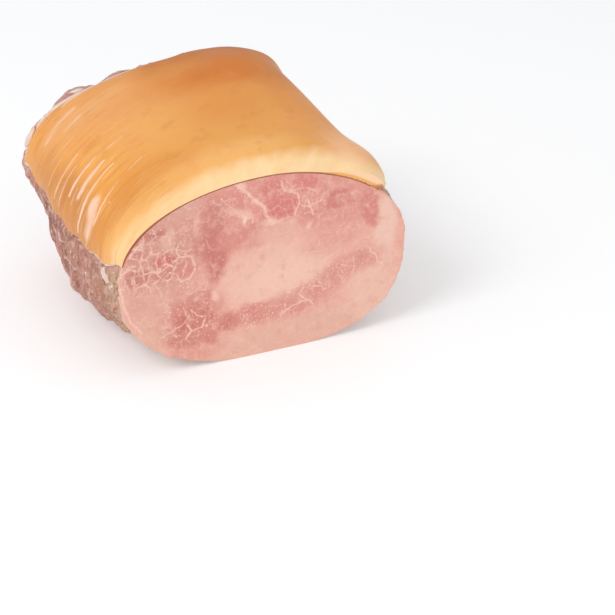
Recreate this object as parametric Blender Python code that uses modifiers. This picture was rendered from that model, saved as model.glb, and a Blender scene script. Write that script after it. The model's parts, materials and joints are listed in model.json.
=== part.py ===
"""A glazed cooked ham, cut straight across at the front: one solid, in metres, +Z up.

The front is the flat cut face (normal -Y), the rear a blunt rounded end. Every cross-section is a
superellipse in four quarters whose sizes change along the ham. A thin rind lies over the top and
upper flanks, rolls down to the cut at the front and stops short of the rear. The bare meat below it
and behind it is craggy. The origin is the middle of the box on the resting plane.
"""

import math
from dataclasses import dataclass, fields

import bmesh
import bpy
from mathutils import Vector, noise

# Whole ham
LENGTH = 0.232
# The box's middle, across from the cut face's middle and back from the cut face
MIDDLE_X = -0.0017
MIDDLE_Y = 0.1205

# Where the cross-section changes, measured back from the cut face
ROLL_LENGTH = 0.028  # the top rises from the cut to full height over this
ROLL_POWER = 2.3
SWELL_LENGTH = 0.190
LEAD_IN = 0.006  # made ahead of the cut face, then sliced off

# Rounding of the rear end
REAR_ROUND = 0.050
REAR_INSET = 0.045
REAR_POWER = 2.6
REAR_DOME = 0.007

# The lower left flank draws in towards the floor near the rear
LEAN = 0.33
LEAN_TOP_Z = 0.092
LEAN_FROM = 0.110
LEAN_OVER = 0.100
LEAN_SOFT_X = 0.060  # it grows over this from the middle to the left

# Rind
RIND_PROUD = 0.0022
RIND_WALL = 0.012
RIND_LEFT_Z = (0.090, 0.082, 0.080, 0.081, 0.088, 0.094, 0.096)  # lower left edge, front to rear
RIND_RIGHT_Z = (0.106, 0.102, 0.095, 0.090, 0.087, 0.085, 0.086)  # lower right edge, front to rear
RIND_REAR_Y = (0.199, 0.198, 0.203, 0.212, 0.219, 0.220, 0.214)  # rear edge, left to right
EDGE_WAVE = 0.0012
SIDE_WAVES = 170.0  # radians of wave a metre, along the lower edges
SIDE_PHASE = 1.0
REAR_WAVES = 31.0  # radians of wave from the left to the right of the rear edge
BED_DEPTH = 0.0012  # how far the meat lies below its smooth outline under the rind
BED_MARGIN = 0.006

# Furrows drawn across the rind's left flank
FURROW_DEPTH = 0.0011
FURROW_PITCH = 0.0118
FURROW_Y = (0.040, 0.150)
FURROW_TURN = (math.radians(140), math.radians(184))
FURROW_FADE_Y = 0.020
FURROW_FADE_TURN = math.radians(14)
FURROW_LEAN = 0.014  # how far a furrow runs back as it climbs one radian

# Relief of the bare meat
CRAG_DEPTH = 0.0042
CRAG_SCALE = 0.019
CRAG_ROUGHNESS = 0.9
CRAG_FINENESS = 2.1  # how much finer each layer is than the one before
CRAG_LAYERS = 2
CRAG_FADE_Z = 0.012
CRAG_FADE_Y = 0.025  # relief grows over this behind the cut face
CRAG_AT_CUT = 0.3
DENT_DEPTH = 0.0030
DENT_SCALE = 0.052
DENT_SHIFT = Vector((3.1, 0.0, 7.7))  # keeps the dents apart from the lumps

# For reading slopes and heights off the smooth body
PROBE = 0.002
MEAN_REACH = 0.100
HALVINGS = 24
TOP_TURN = math.radians(90)
LOW_LEFT_TURN = math.radians(215)
LOW_RIGHT_TURN = math.radians(-35)

# Mesh density
TURN_STEPS = 76
LENGTH_STEPS = 30
REAR_STEPS = 9
CAP_SCALES = (0.84, 0.66, 0.48, 0.3, 0.12)
RIND_ACROSS = 36
RIND_ALONG = 60
FRONT_CROWDING = 0.35  # 0 spreads the rings evenly, 1 crowds them at the cut

# Finish
CRISP_EDGE = math.radians(40)
BASE_COLOUR = (0.72, 0.38, 0.30, 1.0)
BASE_ROUGHNESS = 0.45
TOUCHING = 1e-6


@dataclass(frozen=True)
class Section:
    """One cross-section: its reach each way from the centre, and how square each quarter is."""

    centre_x: float
    centre_z: float
    left: float
    right: float
    top: float
    bottom: float
    upper_right: float
    upper_left: float
    lower_left: float
    lower_right: float

    def mix(self, other, share):
        """The section part of the way to another one."""
        values = []
        for field in fields(self):
            here = getattr(self, field.name)
            values.append(here + (getattr(other, field.name) - here) * share)
        return Section(*values)

    def reach(self, turn):
        """Distance from the centre to the outline; turn runs from +X through +Z."""
        across = math.cos(turn)
        up = math.sin(turn)
        if up >= 0:
            power = self.upper_right if across >= 0 else self.upper_left
        else:
            power = self.lower_right if across >= 0 else self.lower_left
        width = self.right if across >= 0 else self.left
        height = self.top if up >= 0 else self.bottom
        total = (abs(across) / width) ** power + (abs(up) / height) ** power
        return total ** (-1 / power)


@dataclass(frozen=True)
class Bulge:
    """A smooth round swelling of the skin."""

    rise: float
    turn: float
    y: float
    turn_spread: float
    y_spread: float

    def height(self, turn, y):
        """How far it lifts the skin at a place."""
        off_turn = (turn - self.turn) / self.turn_spread
        off_y = (y - self.y) / self.y_spread
        return self.rise * math.exp(-off_turn * off_turn - off_y * off_y)


CUT = Section(0.005, 0.076, 0.114, 0.107, 0.063, 0.077, 1.86, 2.1, 2.5, 2.75)
SHOULDER = Section(0.015, 0.076, 0.125, 0.095, 0.073, 0.077, 2.2, 2.1, 2.85, 2.7)
REAR = Section(0.040, 0.080, 0.154, 0.064, 0.081, 0.081, 2.7, 2.0, 5.5, 2.6)

# The meat behind the rind's left rear corner, and the rear's square right shoulder
MEAT_BULGES = (
    Bulge(0.010, math.radians(157), 0.212, math.radians(15), 0.024),
    Bulge(0.006, math.radians(48), 0.205, math.radians(14), 0.020),
)
# The rind stands thick at the right front shoulder and full on the left flank
RIND_BULGES = (
    Bulge(0.0050, math.radians(35), 0.024, math.radians(13), 0.030),
    Bulge(0.0020, math.radians(172), 0.150, math.radians(12), 0.050),
)


def ease(share):
    """A smooth step from 0 to 1."""
    share = min(max(share, 0.0), 1.0)
    return share * share * (3 - 2 * share)


def along(values, share):
    """A smooth reading of evenly spaced values; share runs from 0 to 1."""
    place = min(max(share, 0.0), 1.0) * (len(values) - 1)
    index = min(int(place), len(values) - 2)
    return values[index] + (values[index + 1] - values[index]) * ease(place - index)


def section_at(y):
    """The cross-section at a distance behind the cut face."""
    roll = 1 - max(1 - y / ROLL_LENGTH, 0.0) ** ROLL_POWER
    front = CUT.mix(SHOULDER, roll)
    swell = ease(y / SWELL_LENGTH)
    values = []
    for field in fields(front):
        grown = getattr(REAR, field.name) - getattr(SHOULDER, field.name)
        values.append(getattr(front, field.name) + grown * swell)
    return Section(*values)


def rear_inset(y):
    """How far the rear rounding has drawn the outline in."""
    depth = (y - (LENGTH - REAR_ROUND)) / REAR_ROUND
    if depth <= 0:
        return 0.0
    depth = min(depth, 1.0)
    return REAR_INSET * (1 - (1 - depth**REAR_POWER) ** (1 / REAR_POWER))


def skin(turn, y):
    """A point of the smooth body, y behind the cut face."""
    section = section_at(y)
    reach = section.reach(turn) - rear_inset(y)
    reach += sum(bulge.height(turn, y) for bulge in MEAT_BULGES)
    x = section.centre_x + reach * math.cos(turn)
    z = section.centre_z + reach * math.sin(turn)
    drawn_in = LEAN * ease((y - LEAN_FROM) / LEAN_OVER) * ease(-x / LEAN_SOFT_X)
    x += drawn_in * max(LEAN_TOP_Z - z, 0.0)
    return Vector((x - MIDDLE_X, y - MIDDLE_Y, z))


def skin_normal(turn, y):
    """The smooth body's outward normal."""
    back = min(y + PROBE, LENGTH)
    swing = PROBE / MEAN_REACH
    around = skin(turn + swing, y) - skin(turn - swing, y)
    lengthwise = skin(turn, back) - skin(turn, back - 2 * PROBE)
    return lengthwise.cross(around).normalized()


def crag(point):
    """Height of the torn meat's relief at a point, lower at the resting plane and the cut."""
    lumps = noise.fractal(point / CRAG_SCALE, CRAG_ROUGHNESS, CRAG_FINENESS, CRAG_LAYERS)
    dents = noise.noise(point / DENT_SCALE + DENT_SHIFT)
    height = CRAG_DEPTH * lumps + DENT_DEPTH * dents
    behind = (point.y + MIDDLE_Y) / CRAG_FADE_Y
    height *= CRAG_AT_CUT + (1 - CRAG_AT_CUT) * ease(behind)
    return height * ease(point.z / CRAG_FADE_Z)


def furrow(turn, y):
    """Height of the folds drawn across the rind's left flank."""
    near = ease((y - FURROW_Y[0]) / FURROW_FADE_Y) * ease((FURROW_Y[1] - y) / FURROW_FADE_Y)
    near *= ease((turn - FURROW_TURN[0]) / FURROW_FADE_TURN)
    near *= ease((FURROW_TURN[1] - turn) / FURROW_FADE_TURN)
    phase = (y + FURROW_LEAN * turn) / FURROW_PITCH
    return -FURROW_DEPTH * near * (0.5 + 0.5 * math.cos(2 * math.pi * phase))


def turn_at_height(z, y, left):
    """The turn at which a flank of the smooth body is at a height, found by halving."""
    above = TOP_TURN
    below = LOW_LEFT_TURN if left else LOW_RIGHT_TURN
    for _ in range(HALVINGS):
        middle = (above + below) / 2
        if skin(middle, y).z > z:
            above = middle
        else:
            below = middle
    return above


def rind_edges(y):
    """The turns of the rind's lower left and lower right edges."""
    place = y / LENGTH
    wave = EDGE_WAVE * math.sin(SIDE_WAVES * y + SIDE_PHASE)
    left = turn_at_height(along(RIND_LEFT_Z, place) + wave, y, True)
    right = turn_at_height(along(RIND_RIGHT_Z, place) - wave, y, False)
    return left, right


def rind_rear(across):
    """Where the rind ends behind the cut face; across runs from its left edge to its right."""
    return along(RIND_REAR_Y, across) + EDGE_WAVE * math.sin(REAR_WAVES * across)


def bareness(turn, y, edges):
    """1 on bare meat, 0 well under the rind."""
    left, right = edges
    if turn > math.radians(270):
        turn -= 2 * math.pi
    across = (left - turn) / (left - right)
    margin = BED_MARGIN / MEAN_REACH / (left - right)
    sideways = ease(-across / margin) + ease((across - 1) / margin)
    behind = ease((y - rind_rear(across)) / BED_MARGIN)
    return min(sideways + behind, 1.0)


def length_stations():
    """Distances behind the cut face for the body's rings, closer at the roll and the rear."""
    start = LENGTH - REAR_ROUND
    stations = []
    for step in range(LENGTH_STEPS + 1):
        share = step / LENGTH_STEPS
        crowded = FRONT_CROWDING * share**2 + (1 - FRONT_CROWDING) * share
        stations.append(-LEAD_IN + (start + LEAD_IN) * crowded)
    for step in range(1, REAR_STEPS + 1):
        swing = math.sin(math.pi / 2 * step / REAR_STEPS)
        stations.append(start + REAR_ROUND * swing ** (2 / REAR_POWER))
    return stations


def body_mesh():
    """The meat: rings lofted from the cut to the rear, with a domed cap."""
    form = bmesh.new()
    turns = [2 * math.pi * step / TURN_STEPS for step in range(TURN_STEPS)]
    rings = []
    for y in length_stations():
        edges = rind_edges(min(y, LENGTH - BED_MARGIN))
        ring = []
        for turn in turns:
            point = skin(turn, y)
            bare = bareness(turn, y, edges)
            rise = bare * crag(point) - (1 - bare) * BED_DEPTH
            ring.append(form.verts.new(point + skin_normal(turn, y) * rise))
        rings.append(ring)
    edge = [skin(turn, LENGTH) for turn in turns]
    middle = sum(edge, Vector()) / len(edge)
    for scale in CAP_SCALES:
        ring = []
        for point in edge:
            inner = middle + (point - middle) * scale
            inner.y += REAR_DOME * (1 - scale * scale) + crag(inner)
            ring.append(form.verts.new(inner))
        rings.append(ring)
    for near, far in zip(rings, rings[1:]):
        for index in range(TURN_STEPS):
            after = (index + 1) % TURN_STEPS
            form.faces.new((near[index], near[after], far[after], far[index]))
    form.faces.new(rings[0])
    form.faces.new(rings[-1])
    bmesh.ops.recalc_face_normals(form, faces=form.faces[:])
    mesh = bpy.data.meshes.new("meat")
    form.to_mesh(mesh)
    form.free()
    return mesh


def rind_mesh():
    """The rind's outer face, an open sheet that follows the body between its uneven edges."""
    form = bmesh.new()
    grid = []
    for row in range(RIND_ALONG + 1):
        line = []
        for column in range(RIND_ACROSS + 1):
            across = column / RIND_ACROSS
            y = -LEAD_IN + (rind_rear(across) + LEAD_IN) * row / RIND_ALONG
            left, right = rind_edges(y)
            turn = left + (right - left) * across
            lift = RIND_PROUD + furrow(turn, y)
            lift += sum(bulge.height(turn, y) for bulge in RIND_BULGES)
            line.append(form.verts.new(skin(turn, y) + skin_normal(turn, y) * lift))
        grid.append(line)
    for near, far in zip(grid, grid[1:]):
        for index in range(RIND_ACROSS):
            form.faces.new((near[index], near[index + 1], far[index + 1], far[index]))
    mesh = bpy.data.meshes.new("rind")
    form.to_mesh(mesh)
    form.free()
    return mesh


def ham_finish():
    """Cooked pink meat under a golden rind, as one plain base finish."""
    finish = bpy.data.materials.new("cooked_ham")
    finish.use_nodes = True
    shader = finish.node_tree.nodes["Principled BSDF"]
    shader.inputs["Base Color"].default_value = BASE_COLOUR
    shader.inputs["Roughness"].default_value = BASE_ROUGHNESS
    shader.inputs["Metallic"].default_value = 0.0
    return finish


def slice_off(form, point, normal):
    """Removes what lies on the normal's side of a plane and closes the cut flat."""
    everything = form.verts[:] + form.edges[:] + form.faces[:]
    cut = bmesh.ops.bisect_plane(
        form, geom=everything, dist=TOUCHING, plane_co=point, plane_no=normal, clear_outer=True
    )
    rim = [item for item in cut["geom_cut"] if isinstance(item, bmesh.types.BMEdge)]
    bmesh.ops.contextual_create(form, geom=rim)


def applied(thing):
    """A mesh of the object with its modifiers applied."""
    graph = bpy.context.evaluated_depsgraph_get()
    graph.update()
    return bpy.data.meshes.new_from_object(thing.evaluated_get(graph))


def build():
    """Clears the scene and makes the ham."""
    for thing in list(bpy.data.objects):
        bpy.data.objects.remove(thing, do_unlink=True)
    parts = bpy.data.collections.new("glazed_ham")
    joined = bpy.data.collections.new("joined_into_ham")
    bpy.context.scene.collection.children.link(parts)
    bpy.context.scene.collection.children.link(joined)

    ham = bpy.data.objects.new("ham", body_mesh())
    parts.objects.link(ham)

    rind = bpy.data.objects.new("rind_sheet", rind_mesh())
    joined.objects.link(rind)
    wall = rind.modifiers.new("wall", "SOLIDIFY")
    wall.thickness = RIND_WALL
    wall.offset = -1.0
    wall.use_even_offset = False

    union = ham.modifiers.new("join", "BOOLEAN")
    union.operation = "UNION"
    union.operand_type = "COLLECTION"
    union.collection = joined
    union.solver = "EXACT"
    mesh = applied(ham)
    ham.modifiers.clear()
    ham.data = mesh
    mesh.name = "ham"
    bpy.data.objects.remove(rind, do_unlink=True)
    bpy.data.collections.remove(joined)

    form = bmesh.new()
    form.from_mesh(mesh)
    slice_off(form, Vector((0, -MIDDLE_Y, 0)), Vector((0, -1, 0)))
    slice_off(form, Vector((0, 0, 0)), Vector((0, 0, -1)))
    form.to_mesh(mesh)
    form.free()
    mesh.materials.clear()
    mesh.materials.append(ham_finish())
    mesh.shade_smooth()
    mesh.set_sharp_from_angle(angle=CRISP_EDGE)


build()
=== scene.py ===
"""A glazed cooked ham, cut straight across, on a pale studio floor.

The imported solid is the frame. Four pieces stand for it: the marbled meat, the pale fat under the
rind, the golden rind itself and the torn scraps on the flanks. All of them are laid on one form,
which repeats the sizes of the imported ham: `turn` runs round the ham from +X through +Z, and `depth`
is measured back from the cut face. Lengths are metres, and the patterns drawn on the cut and on the
rind are in millimetres.
"""

import json
import logging
import math
from dataclasses import astuple, dataclass
from enum import Enum

import bpy
import numpy as np
from mathutils import Matrix, Vector, noise

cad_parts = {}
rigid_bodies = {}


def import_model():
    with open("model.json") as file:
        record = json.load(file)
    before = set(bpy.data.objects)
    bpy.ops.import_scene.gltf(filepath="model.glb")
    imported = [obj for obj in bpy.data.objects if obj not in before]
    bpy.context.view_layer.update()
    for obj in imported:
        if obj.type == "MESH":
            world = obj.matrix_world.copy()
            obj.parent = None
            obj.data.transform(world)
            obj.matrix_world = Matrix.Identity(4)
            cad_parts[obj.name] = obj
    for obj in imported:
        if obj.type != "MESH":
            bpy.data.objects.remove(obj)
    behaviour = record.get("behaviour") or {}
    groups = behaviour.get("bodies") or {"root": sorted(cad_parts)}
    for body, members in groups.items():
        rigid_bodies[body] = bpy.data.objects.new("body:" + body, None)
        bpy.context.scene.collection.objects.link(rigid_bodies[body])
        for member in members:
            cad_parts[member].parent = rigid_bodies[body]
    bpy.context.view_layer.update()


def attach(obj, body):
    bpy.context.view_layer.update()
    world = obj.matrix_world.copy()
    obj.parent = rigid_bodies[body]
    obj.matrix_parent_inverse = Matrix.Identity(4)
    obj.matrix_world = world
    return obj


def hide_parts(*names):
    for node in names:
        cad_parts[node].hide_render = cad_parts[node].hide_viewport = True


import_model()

NODE = "ham"
BODY = "root"
LOG = logging.getLogger("ham")
MM = 1000.0
WHITE = (1.0, 1.0, 1.0, 1.0)

# Edges sharper than this, in degrees, are rounded in this many steps
RIM_ANGLE = 50.0
RIM_SEGMENTS = 2

# How each layer of the relief's noise falls off and how much finer it is, and how many layers it has
RELIEF_FALL = 0.9
RELIEF_STEP = 2.1
COARSE = 2
FINE = 3

# The detail of the noise that pushes patterns about, and the middle of what noise gives
PUSH_DETAIL = 2.0
MIDDLE = 0.5

Array = np.ndarray
Piece = bpy.types.Object
Finish = bpy.types.Material
Socket = bpy.types.NodeSocket
Point = tuple[float, float]
Colour = tuple[float, float, float, float]
Coats = tuple["Coat", ...]


class Side(Enum):
    """A flank of the ham, with the turn in degrees below which its skin is never looked for."""

    LEFT = 215
    RIGHT = -35


class Stuff(Enum):
    """What a scrap is made of."""

    MEAT = "meat"
    FAT = "fat"


# Small helpers


def ease(share: Array | float) -> Array:
    """A smooth step: 0 at and below a share of 0, 1 at and above a share of 1."""
    share = np.clip(share, 0.0, 1.0)
    return share * share * (3.0 - 2.0 * share)


def along(values: tuple[float, ...], share: Array) -> Array:
    """A smooth reading of evenly spaced values.

    Args:
        values: the values, spread evenly from share 0 to share 1.
        share: where to read them.

    Returns:
        The values at the shares.
    """
    table = np.array(values)
    place = np.clip(share, 0.0, 1.0) * (len(table) - 1)
    index = np.minimum(place.astype(int), len(table) - 2)
    return table[index] + (table[index + 1] - table[index]) * ease(place - index)


def fractal(points: Array, octaves: int) -> Array:
    """Layered noise, about -1 to 1, at one row a point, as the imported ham's relief has it."""
    return np.array([noise.fractal(Vector(p), RELIEF_FALL, RELIEF_STEP, octaves) for p in points])


def ripple(points: Array) -> Array:
    """One layer of smooth noise, about -1 to 1, at one row a point."""
    return np.array([noise.noise(Vector(point)) for point in points])


def tone(red: float, green: float, blue: float) -> Colour:
    """A display colour, 0 to 255 a channel, as the linear colour a shader takes, with an alpha of 1."""
    shares = (value / 255 for value in (red, green, blue))
    return (*(n / 12.92 if n <= 0.04045 else ((n + 0.055) / 1.055) ** 2.4 for n in shares), 1.0)


# The form that every piece is laid on


@dataclass(frozen=True)
class Section:
    """One cross-section: its reach each way from the centre, and how square each quarter is."""

    centre_x: float
    centre_z: float
    left: float
    right: float
    top: float
    bottom: float
    upper_right: float
    upper_left: float
    lower_left: float
    lower_right: float


@dataclass(frozen=True)
class Bulge:
    """A smooth round swelling of a skin; turns are in degrees."""

    rise: float
    turn: float
    depth: float
    turn_spread: float
    depth_spread: float

    def height(self, turn: Array, depth: Array) -> Array:
        """How far it lifts the skin.

        Args:
            turn: turns in radians.
            depth: depths behind the cut.

        Returns:
            One height for each place.
        """
        off_turn = (turn - math.radians(self.turn)) / math.radians(self.turn_spread)
        off_depth = (depth - self.depth) / self.depth_spread
        return self.rise * np.exp(-off_turn * off_turn - off_depth * off_depth)


@dataclass(frozen=True)
class HamForm:
    """The smooth ham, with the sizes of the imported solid."""

    length: float = 0.232
    middle_x: float = -0.0017
    middle_y: float = 0.1205
    cut: Section = Section(0.005, 0.076, 0.114, 0.107, 0.063, 0.077, 1.86, 2.1, 2.5, 2.75)
    shoulder: Section = Section(0.015, 0.076, 0.125, 0.095, 0.073, 0.077, 2.2, 2.1, 2.85, 2.7)
    rear: Section = Section(0.040, 0.080, 0.154, 0.064, 0.081, 0.081, 2.7, 2.0, 5.5, 2.6)
    roll_length: float = 0.028
    roll_power: float = 2.3
    swell_length: float = 0.190
    rear_round: float = 0.050
    rear_inset_depth: float = 0.045
    rear_power: float = 2.6
    rear_dome: float = 0.007
    lean: float = 0.33
    lean_top: float = 0.092
    lean_from: float = 0.110
    lean_over: float = 0.100
    lean_soft: float = 0.060
    bulges: tuple[Bulge, ...] = (
        Bulge(0.010, 157, 0.212, 15, 0.024),
        Bulge(0.006, 48, 0.205, 14, 0.020),
    )
    crag_depth: float = 0.0042
    crag_scale: float = 0.019
    crag_fade_z: float = 0.012
    crag_fade_y: float = 0.025
    crag_at_cut: float = 0.3
    dent_depth: float = 0.0030
    dent_scale: float = 0.052
    dent_shift: tuple[float, float, float] = (3.1, 0.0, 7.7)
    probe: float = 0.002
    mean_reach: float = 0.100
    halvings: int = 24

    def skin(self, turn: Array, depth: Array) -> Array:
        """Points of the smooth body.

        Args:
            turn: turns in radians.
            depth: depths behind the cut.

        Returns:
            One row (x, y, z) for each place.
        """
        rolled = 1 - np.maximum(1 - depth / self.roll_length, 0.0) ** self.roll_power
        swell = ease(depth / self.swell_length)
        cut, shoulder, rear = (np.array(astuple(s)) for s in (self.cut, self.shoulder, self.rear))
        rows = cut + (shoulder - cut) * rolled[:, None] + (rear - shoulder) * swell[:, None]
        across = np.cos(turn)
        up = np.sin(turn)
        right = across >= 0
        upper = up >= 0
        power = np.where(
            upper, np.where(right, rows[:, 6], rows[:, 7]), np.where(right, rows[:, 9], rows[:, 8])
        )
        width = np.where(right, rows[:, 3], rows[:, 2])
        height = np.where(upper, rows[:, 4], rows[:, 5])
        total = (np.abs(across) / width) ** power + (np.abs(up) / height) ** power
        reach = total ** (-1 / power) - self.rear_inset(depth)
        for bulge in self.bulges:
            reach = reach + bulge.height(turn, depth)
        x = rows[:, 0] + reach * across
        z = rows[:, 1] + reach * up
        drawn_in = self.lean * ease((depth - self.lean_from) / self.lean_over) * ease(-x / self.lean_soft)
        x = x + drawn_in * np.maximum(self.lean_top - z, 0.0)
        return np.stack((x - self.middle_x, depth - self.middle_y, z), axis=1)

    def rear_inset(self, depth: Array) -> Array:
        """How far the rear rounding has drawn the outline in at each depth.

        Args:
            depth: depths behind the cut.

        Returns:
            One inset for each depth.
        """
        into = np.clip((depth - (self.length - self.rear_round)) / self.rear_round, 0.0, 1.0)
        left = (1 - into**self.rear_power) ** (1 / self.rear_power)
        return self.rear_inset_depth * (1 - left)

    def outward(self, turn: Array, depth: Array) -> Array:
        """The smooth body's outward directions.

        Args:
            turn: turns in radians.
            depth: depths behind the cut.

        Returns:
            One unit row for each place.
        """
        back = np.minimum(depth + self.probe, self.length)
        swing = self.probe / self.mean_reach
        around = self.skin(turn + swing, depth) - self.skin(turn - swing, depth)
        lengthwise = self.skin(turn, back) - self.skin(turn, back - 2 * self.probe)
        normal = np.cross(lengthwise, around)
        return normal / np.linalg.norm(normal, axis=1)[:, None]

    def crag(self, points: Array) -> Array:
        """Height of the torn meat's relief, lower at the resting plane and the cut.

        Args:
            points: one row a point, in metres.

        Returns:
            One height a point.
        """
        height = self.crag_depth * fractal(points / self.crag_scale, COARSE)
        height += self.dent_depth * ripple(points / self.dent_scale + np.array(self.dent_shift))
        behind = ease((points[:, 1] + self.middle_y) / self.crag_fade_y)
        height *= self.crag_at_cut + (1 - self.crag_at_cut) * behind
        return height * ease(points[:, 2] / self.crag_fade_z)

    def turn_at_height(self, z: Array, depth: Array, side: Side) -> Array:
        """The turns at which a flank of the smooth body is at given heights, found by halving.

        Args:
            z: the heights.
            depth: depths behind the cut.
            side: which flank.

        Returns:
            One turn for each height.
        """
        above = np.full(len(depth), math.radians(90))
        below = np.full(len(depth), math.radians(side.value))
        for _ in range(self.halvings):
            middle = (above + below) / 2
            higher = self.skin(middle, depth)[:, 2] > z
            above = np.where(higher, middle, above)
            below = np.where(higher, below, middle)
        return above


@dataclass(frozen=True)
class RindForm:
    """Where the rind lies on the ham, and how far it stands out."""

    ham: HamForm = HamForm()
    left_z: tuple[float, ...] = (0.090, 0.082, 0.080, 0.081, 0.088, 0.094, 0.096)
    right_z: tuple[float, ...] = (0.1125, 0.102, 0.095, 0.090, 0.087, 0.085, 0.086)
    rear_depth: tuple[float, ...] = (0.199, 0.198, 0.203, 0.212, 0.219, 0.220, 0.214)
    wave: float = 0.0012
    wave_start: float = 1.0
    side_waves: float = 170.0
    rear_waves: float = 31.0
    ragged: float = 0.0008
    ragged_scale: float = 0.006
    proud: float = 0.0022
    proud_at_cut: float = 0.0004
    cut_roll: float = 0.009
    lip: float = 0.006
    lip_share: float = 0.45
    bed_depth: float = 0.0012
    bed_margin: float = 0.006
    tuck: float = 0.0016
    tuck_at_cut: float = 0.0003
    rolls_at_cut: tuple[Bulge, ...] = (
        Bulge(0.0062, 28, 0.0, 15, 1.0),
        Bulge(0.0009, 162, 0.0, 16, 1.0),
    )
    furrow_depth: float = 0.0011
    furrow_pitch: float = 0.0118
    furrow_depths: Point = (0.040, 0.150)
    furrow_turns: Point = (140.0, 184.0)
    furrow_fade: float = 0.020
    furrow_fade_turn: float = 14.0
    furrow_lean: float = 0.014
    crease_depth: float = 0.0005
    crease_pitch: float = 0.0042
    creases_a_radian: float = 2.2
    crease_sharpness: float = 0.6
    crease_from_turn: float = 118.0
    crease_fade_turn: float = 40.0
    crease_from: float = 0.012
    crease_fade: float = 0.030
    cut_gap: float = 0.001
    cut_fade: float = 0.004
    flat_width: float = 0.25
    flat_length: float = 0.20
    bulges: tuple[Bulge, ...] = (
        Bulge(0.0050, 35, 0.024, 13, 0.030),
        Bulge(0.0020, 172, 0.150, 12, 0.050),
    )

    def edges(self, depth: Array) -> tuple[Array, Array]:
        """The turns of the rind's lower left and lower right edges.

        Args:
            depth: depths behind the cut.

        Returns:
            Left turns and right turns.
        """
        place = depth / self.ham.length
        wave = self.wave * np.sin(self.side_waves * depth + self.wave_start)
        left = self.ham.turn_at_height(along(self.left_z, place) + wave, depth, Side.LEFT)
        right = self.ham.turn_at_height(along(self.right_z, place) - wave, depth, Side.RIGHT)
        return left, right

    def rear(self, across: Array) -> Array:
        """The depth at which the rind ends, from 0 at its left edge to 1 at its right."""
        return along(self.rear_depth, across) + self.wave * np.sin(self.rear_waves * across)

    def bareness(self, turn: Array, depth: Array) -> Array:
        """1 on bare meat, 0 well under the rind.

        Args:
            turn: turns in radians, from -90 to 270 degrees.
            depth: depths behind the cut.

        Returns:
            One share for each place.
        """
        left, right = self.edges(np.minimum(depth, self.ham.length - self.bed_margin))
        across = (left - turn) / (left - right)
        margin = self.bed_margin / self.ham.mean_reach / (left - right)
        sideways = ease(-across / margin) + ease((across - 1) / margin)
        behind = ease((depth - self.rear(across)) / self.bed_margin)
        return np.minimum(sideways + behind, 1.0)

    def furrow(self, turn: Array, depth: Array) -> Array:
        """Height of the folds drawn across the left flank, with finer creases on them.

        Args:
            turn: turns in radians.
            depth: depths behind the cut.

        Returns:
            One height, 0 or below, for each place.
        """
        near = ease((depth - self.furrow_depths[0]) / self.furrow_fade)
        near = near * ease((self.furrow_depths[1] - depth) / self.furrow_fade)
        low, high = (math.radians(value) for value in self.furrow_turns)
        fade = math.radians(self.furrow_fade_turn)
        near = near * ease((turn - low) / fade) * ease((high - turn) / fade)
        run = depth + self.furrow_lean * turn
        folds = -self.furrow_depth * near * (0.5 + 0.5 * np.cos(2 * math.pi * run / self.furrow_pitch))
        level = np.zeros_like(run)
        places = np.stack((turn * self.creases_a_radian, run / self.crease_pitch, level), axis=1)
        flank = ease((turn - math.radians(self.crease_from_turn)) / math.radians(self.crease_fade_turn))
        flank = flank * ease((depth - self.crease_from) / self.crease_fade)
        return folds - self.crease_depth * flank * np.abs(ripple(places)) ** self.crease_sharpness

    def lift(self, turn: Array, depth: Array, across: Array) -> Array:
        """How far the rind's outer face stands off the smooth body.

        Args:
            turn: turns in radians.
            depth: depths behind the cut.
            across: from 0 at its left edge to 1 at its right.

        Returns:
            One height for each place.
        """
        height = self.proud + self.furrow(turn, depth)
        for bulge in self.bulges:
            height = height + bulge.height(turn, depth)
        at_cut = self.proud_at_cut
        for roll in self.rolls_at_cut:
            at_cut = at_cut + roll.height(turn, depth)
        height = at_cut + (height - at_cut) * ease(depth / self.cut_roll)
        from_side = np.minimum(across, 1 - across) * self.flat_width
        from_rear = self.rear(across) - depth
        near_edge = 1 - ease(np.minimum(from_side, from_rear) / self.lip)
        return height * (1 - self.lip_share * near_edge)

    def behind_cut(self, depth: Array) -> Array:
        """0 at the cut, 1 a little way behind it."""
        return ease((depth - self.cut_gap) / self.cut_fade)

    def flat(self, across: Array, down: Array) -> Array:
        """Points of the rind laid flat, in metres, one row a point, from shares across and along it."""
        return np.stack((across * self.flat_width, down * self.flat_length, np.zeros_like(across)), axis=1)

    def laid(self, turn: Array, depth: Array, lift: Array) -> Array:
        """Points that stand off the smooth ham by a lift."""
        return self.ham.skin(turn, depth) + self.ham.outward(turn, depth) * lift[:, None]


# Meshes


def deselect_all() -> None:
    """Leaves nothing selected, so that an operator acts on the next piece alone."""
    for thing in bpy.context.view_layer.objects:
        thing.select_set(False)


def choose(piece: Piece) -> None:
    """Makes a piece the only one selected and the active one.

    Args:
        piece: the piece.
    """
    deselect_all()
    piece.select_set(True)
    bpy.context.view_layer.objects.active = piece


def sheet(name: str, columns: int, rows: int) -> Piece:
    """A flat sheet of quads, two units wide and two deep, to be laid on a form.

    Args:
        name: the piece's name.
        columns: how many quads across.
        rows: how many quads along.

    Returns:
        The new piece.
    """
    deselect_all()
    bpy.ops.mesh.primitive_grid_add(x_subdivisions=columns, y_subdivisions=rows, size=2.0)
    piece = bpy.context.object
    piece.name = name
    piece.data.name = name
    return piece


def places(piece: Piece) -> tuple[Array, Array]:
    """Each point's place on a flat sheet, 0 to 1 across and 0 to 1 along.

    Args:
        piece: the sheet.

    Returns:
        The places across and the places along, one of each a point.
    """
    flat = np.empty(len(piece.data.vertices) * 3)
    piece.data.vertices.foreach_get("co", flat)
    flat = flat.reshape(-1, 3)
    return (flat[:, 0] + 1) / 2, (flat[:, 1] + 1) / 2


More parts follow.
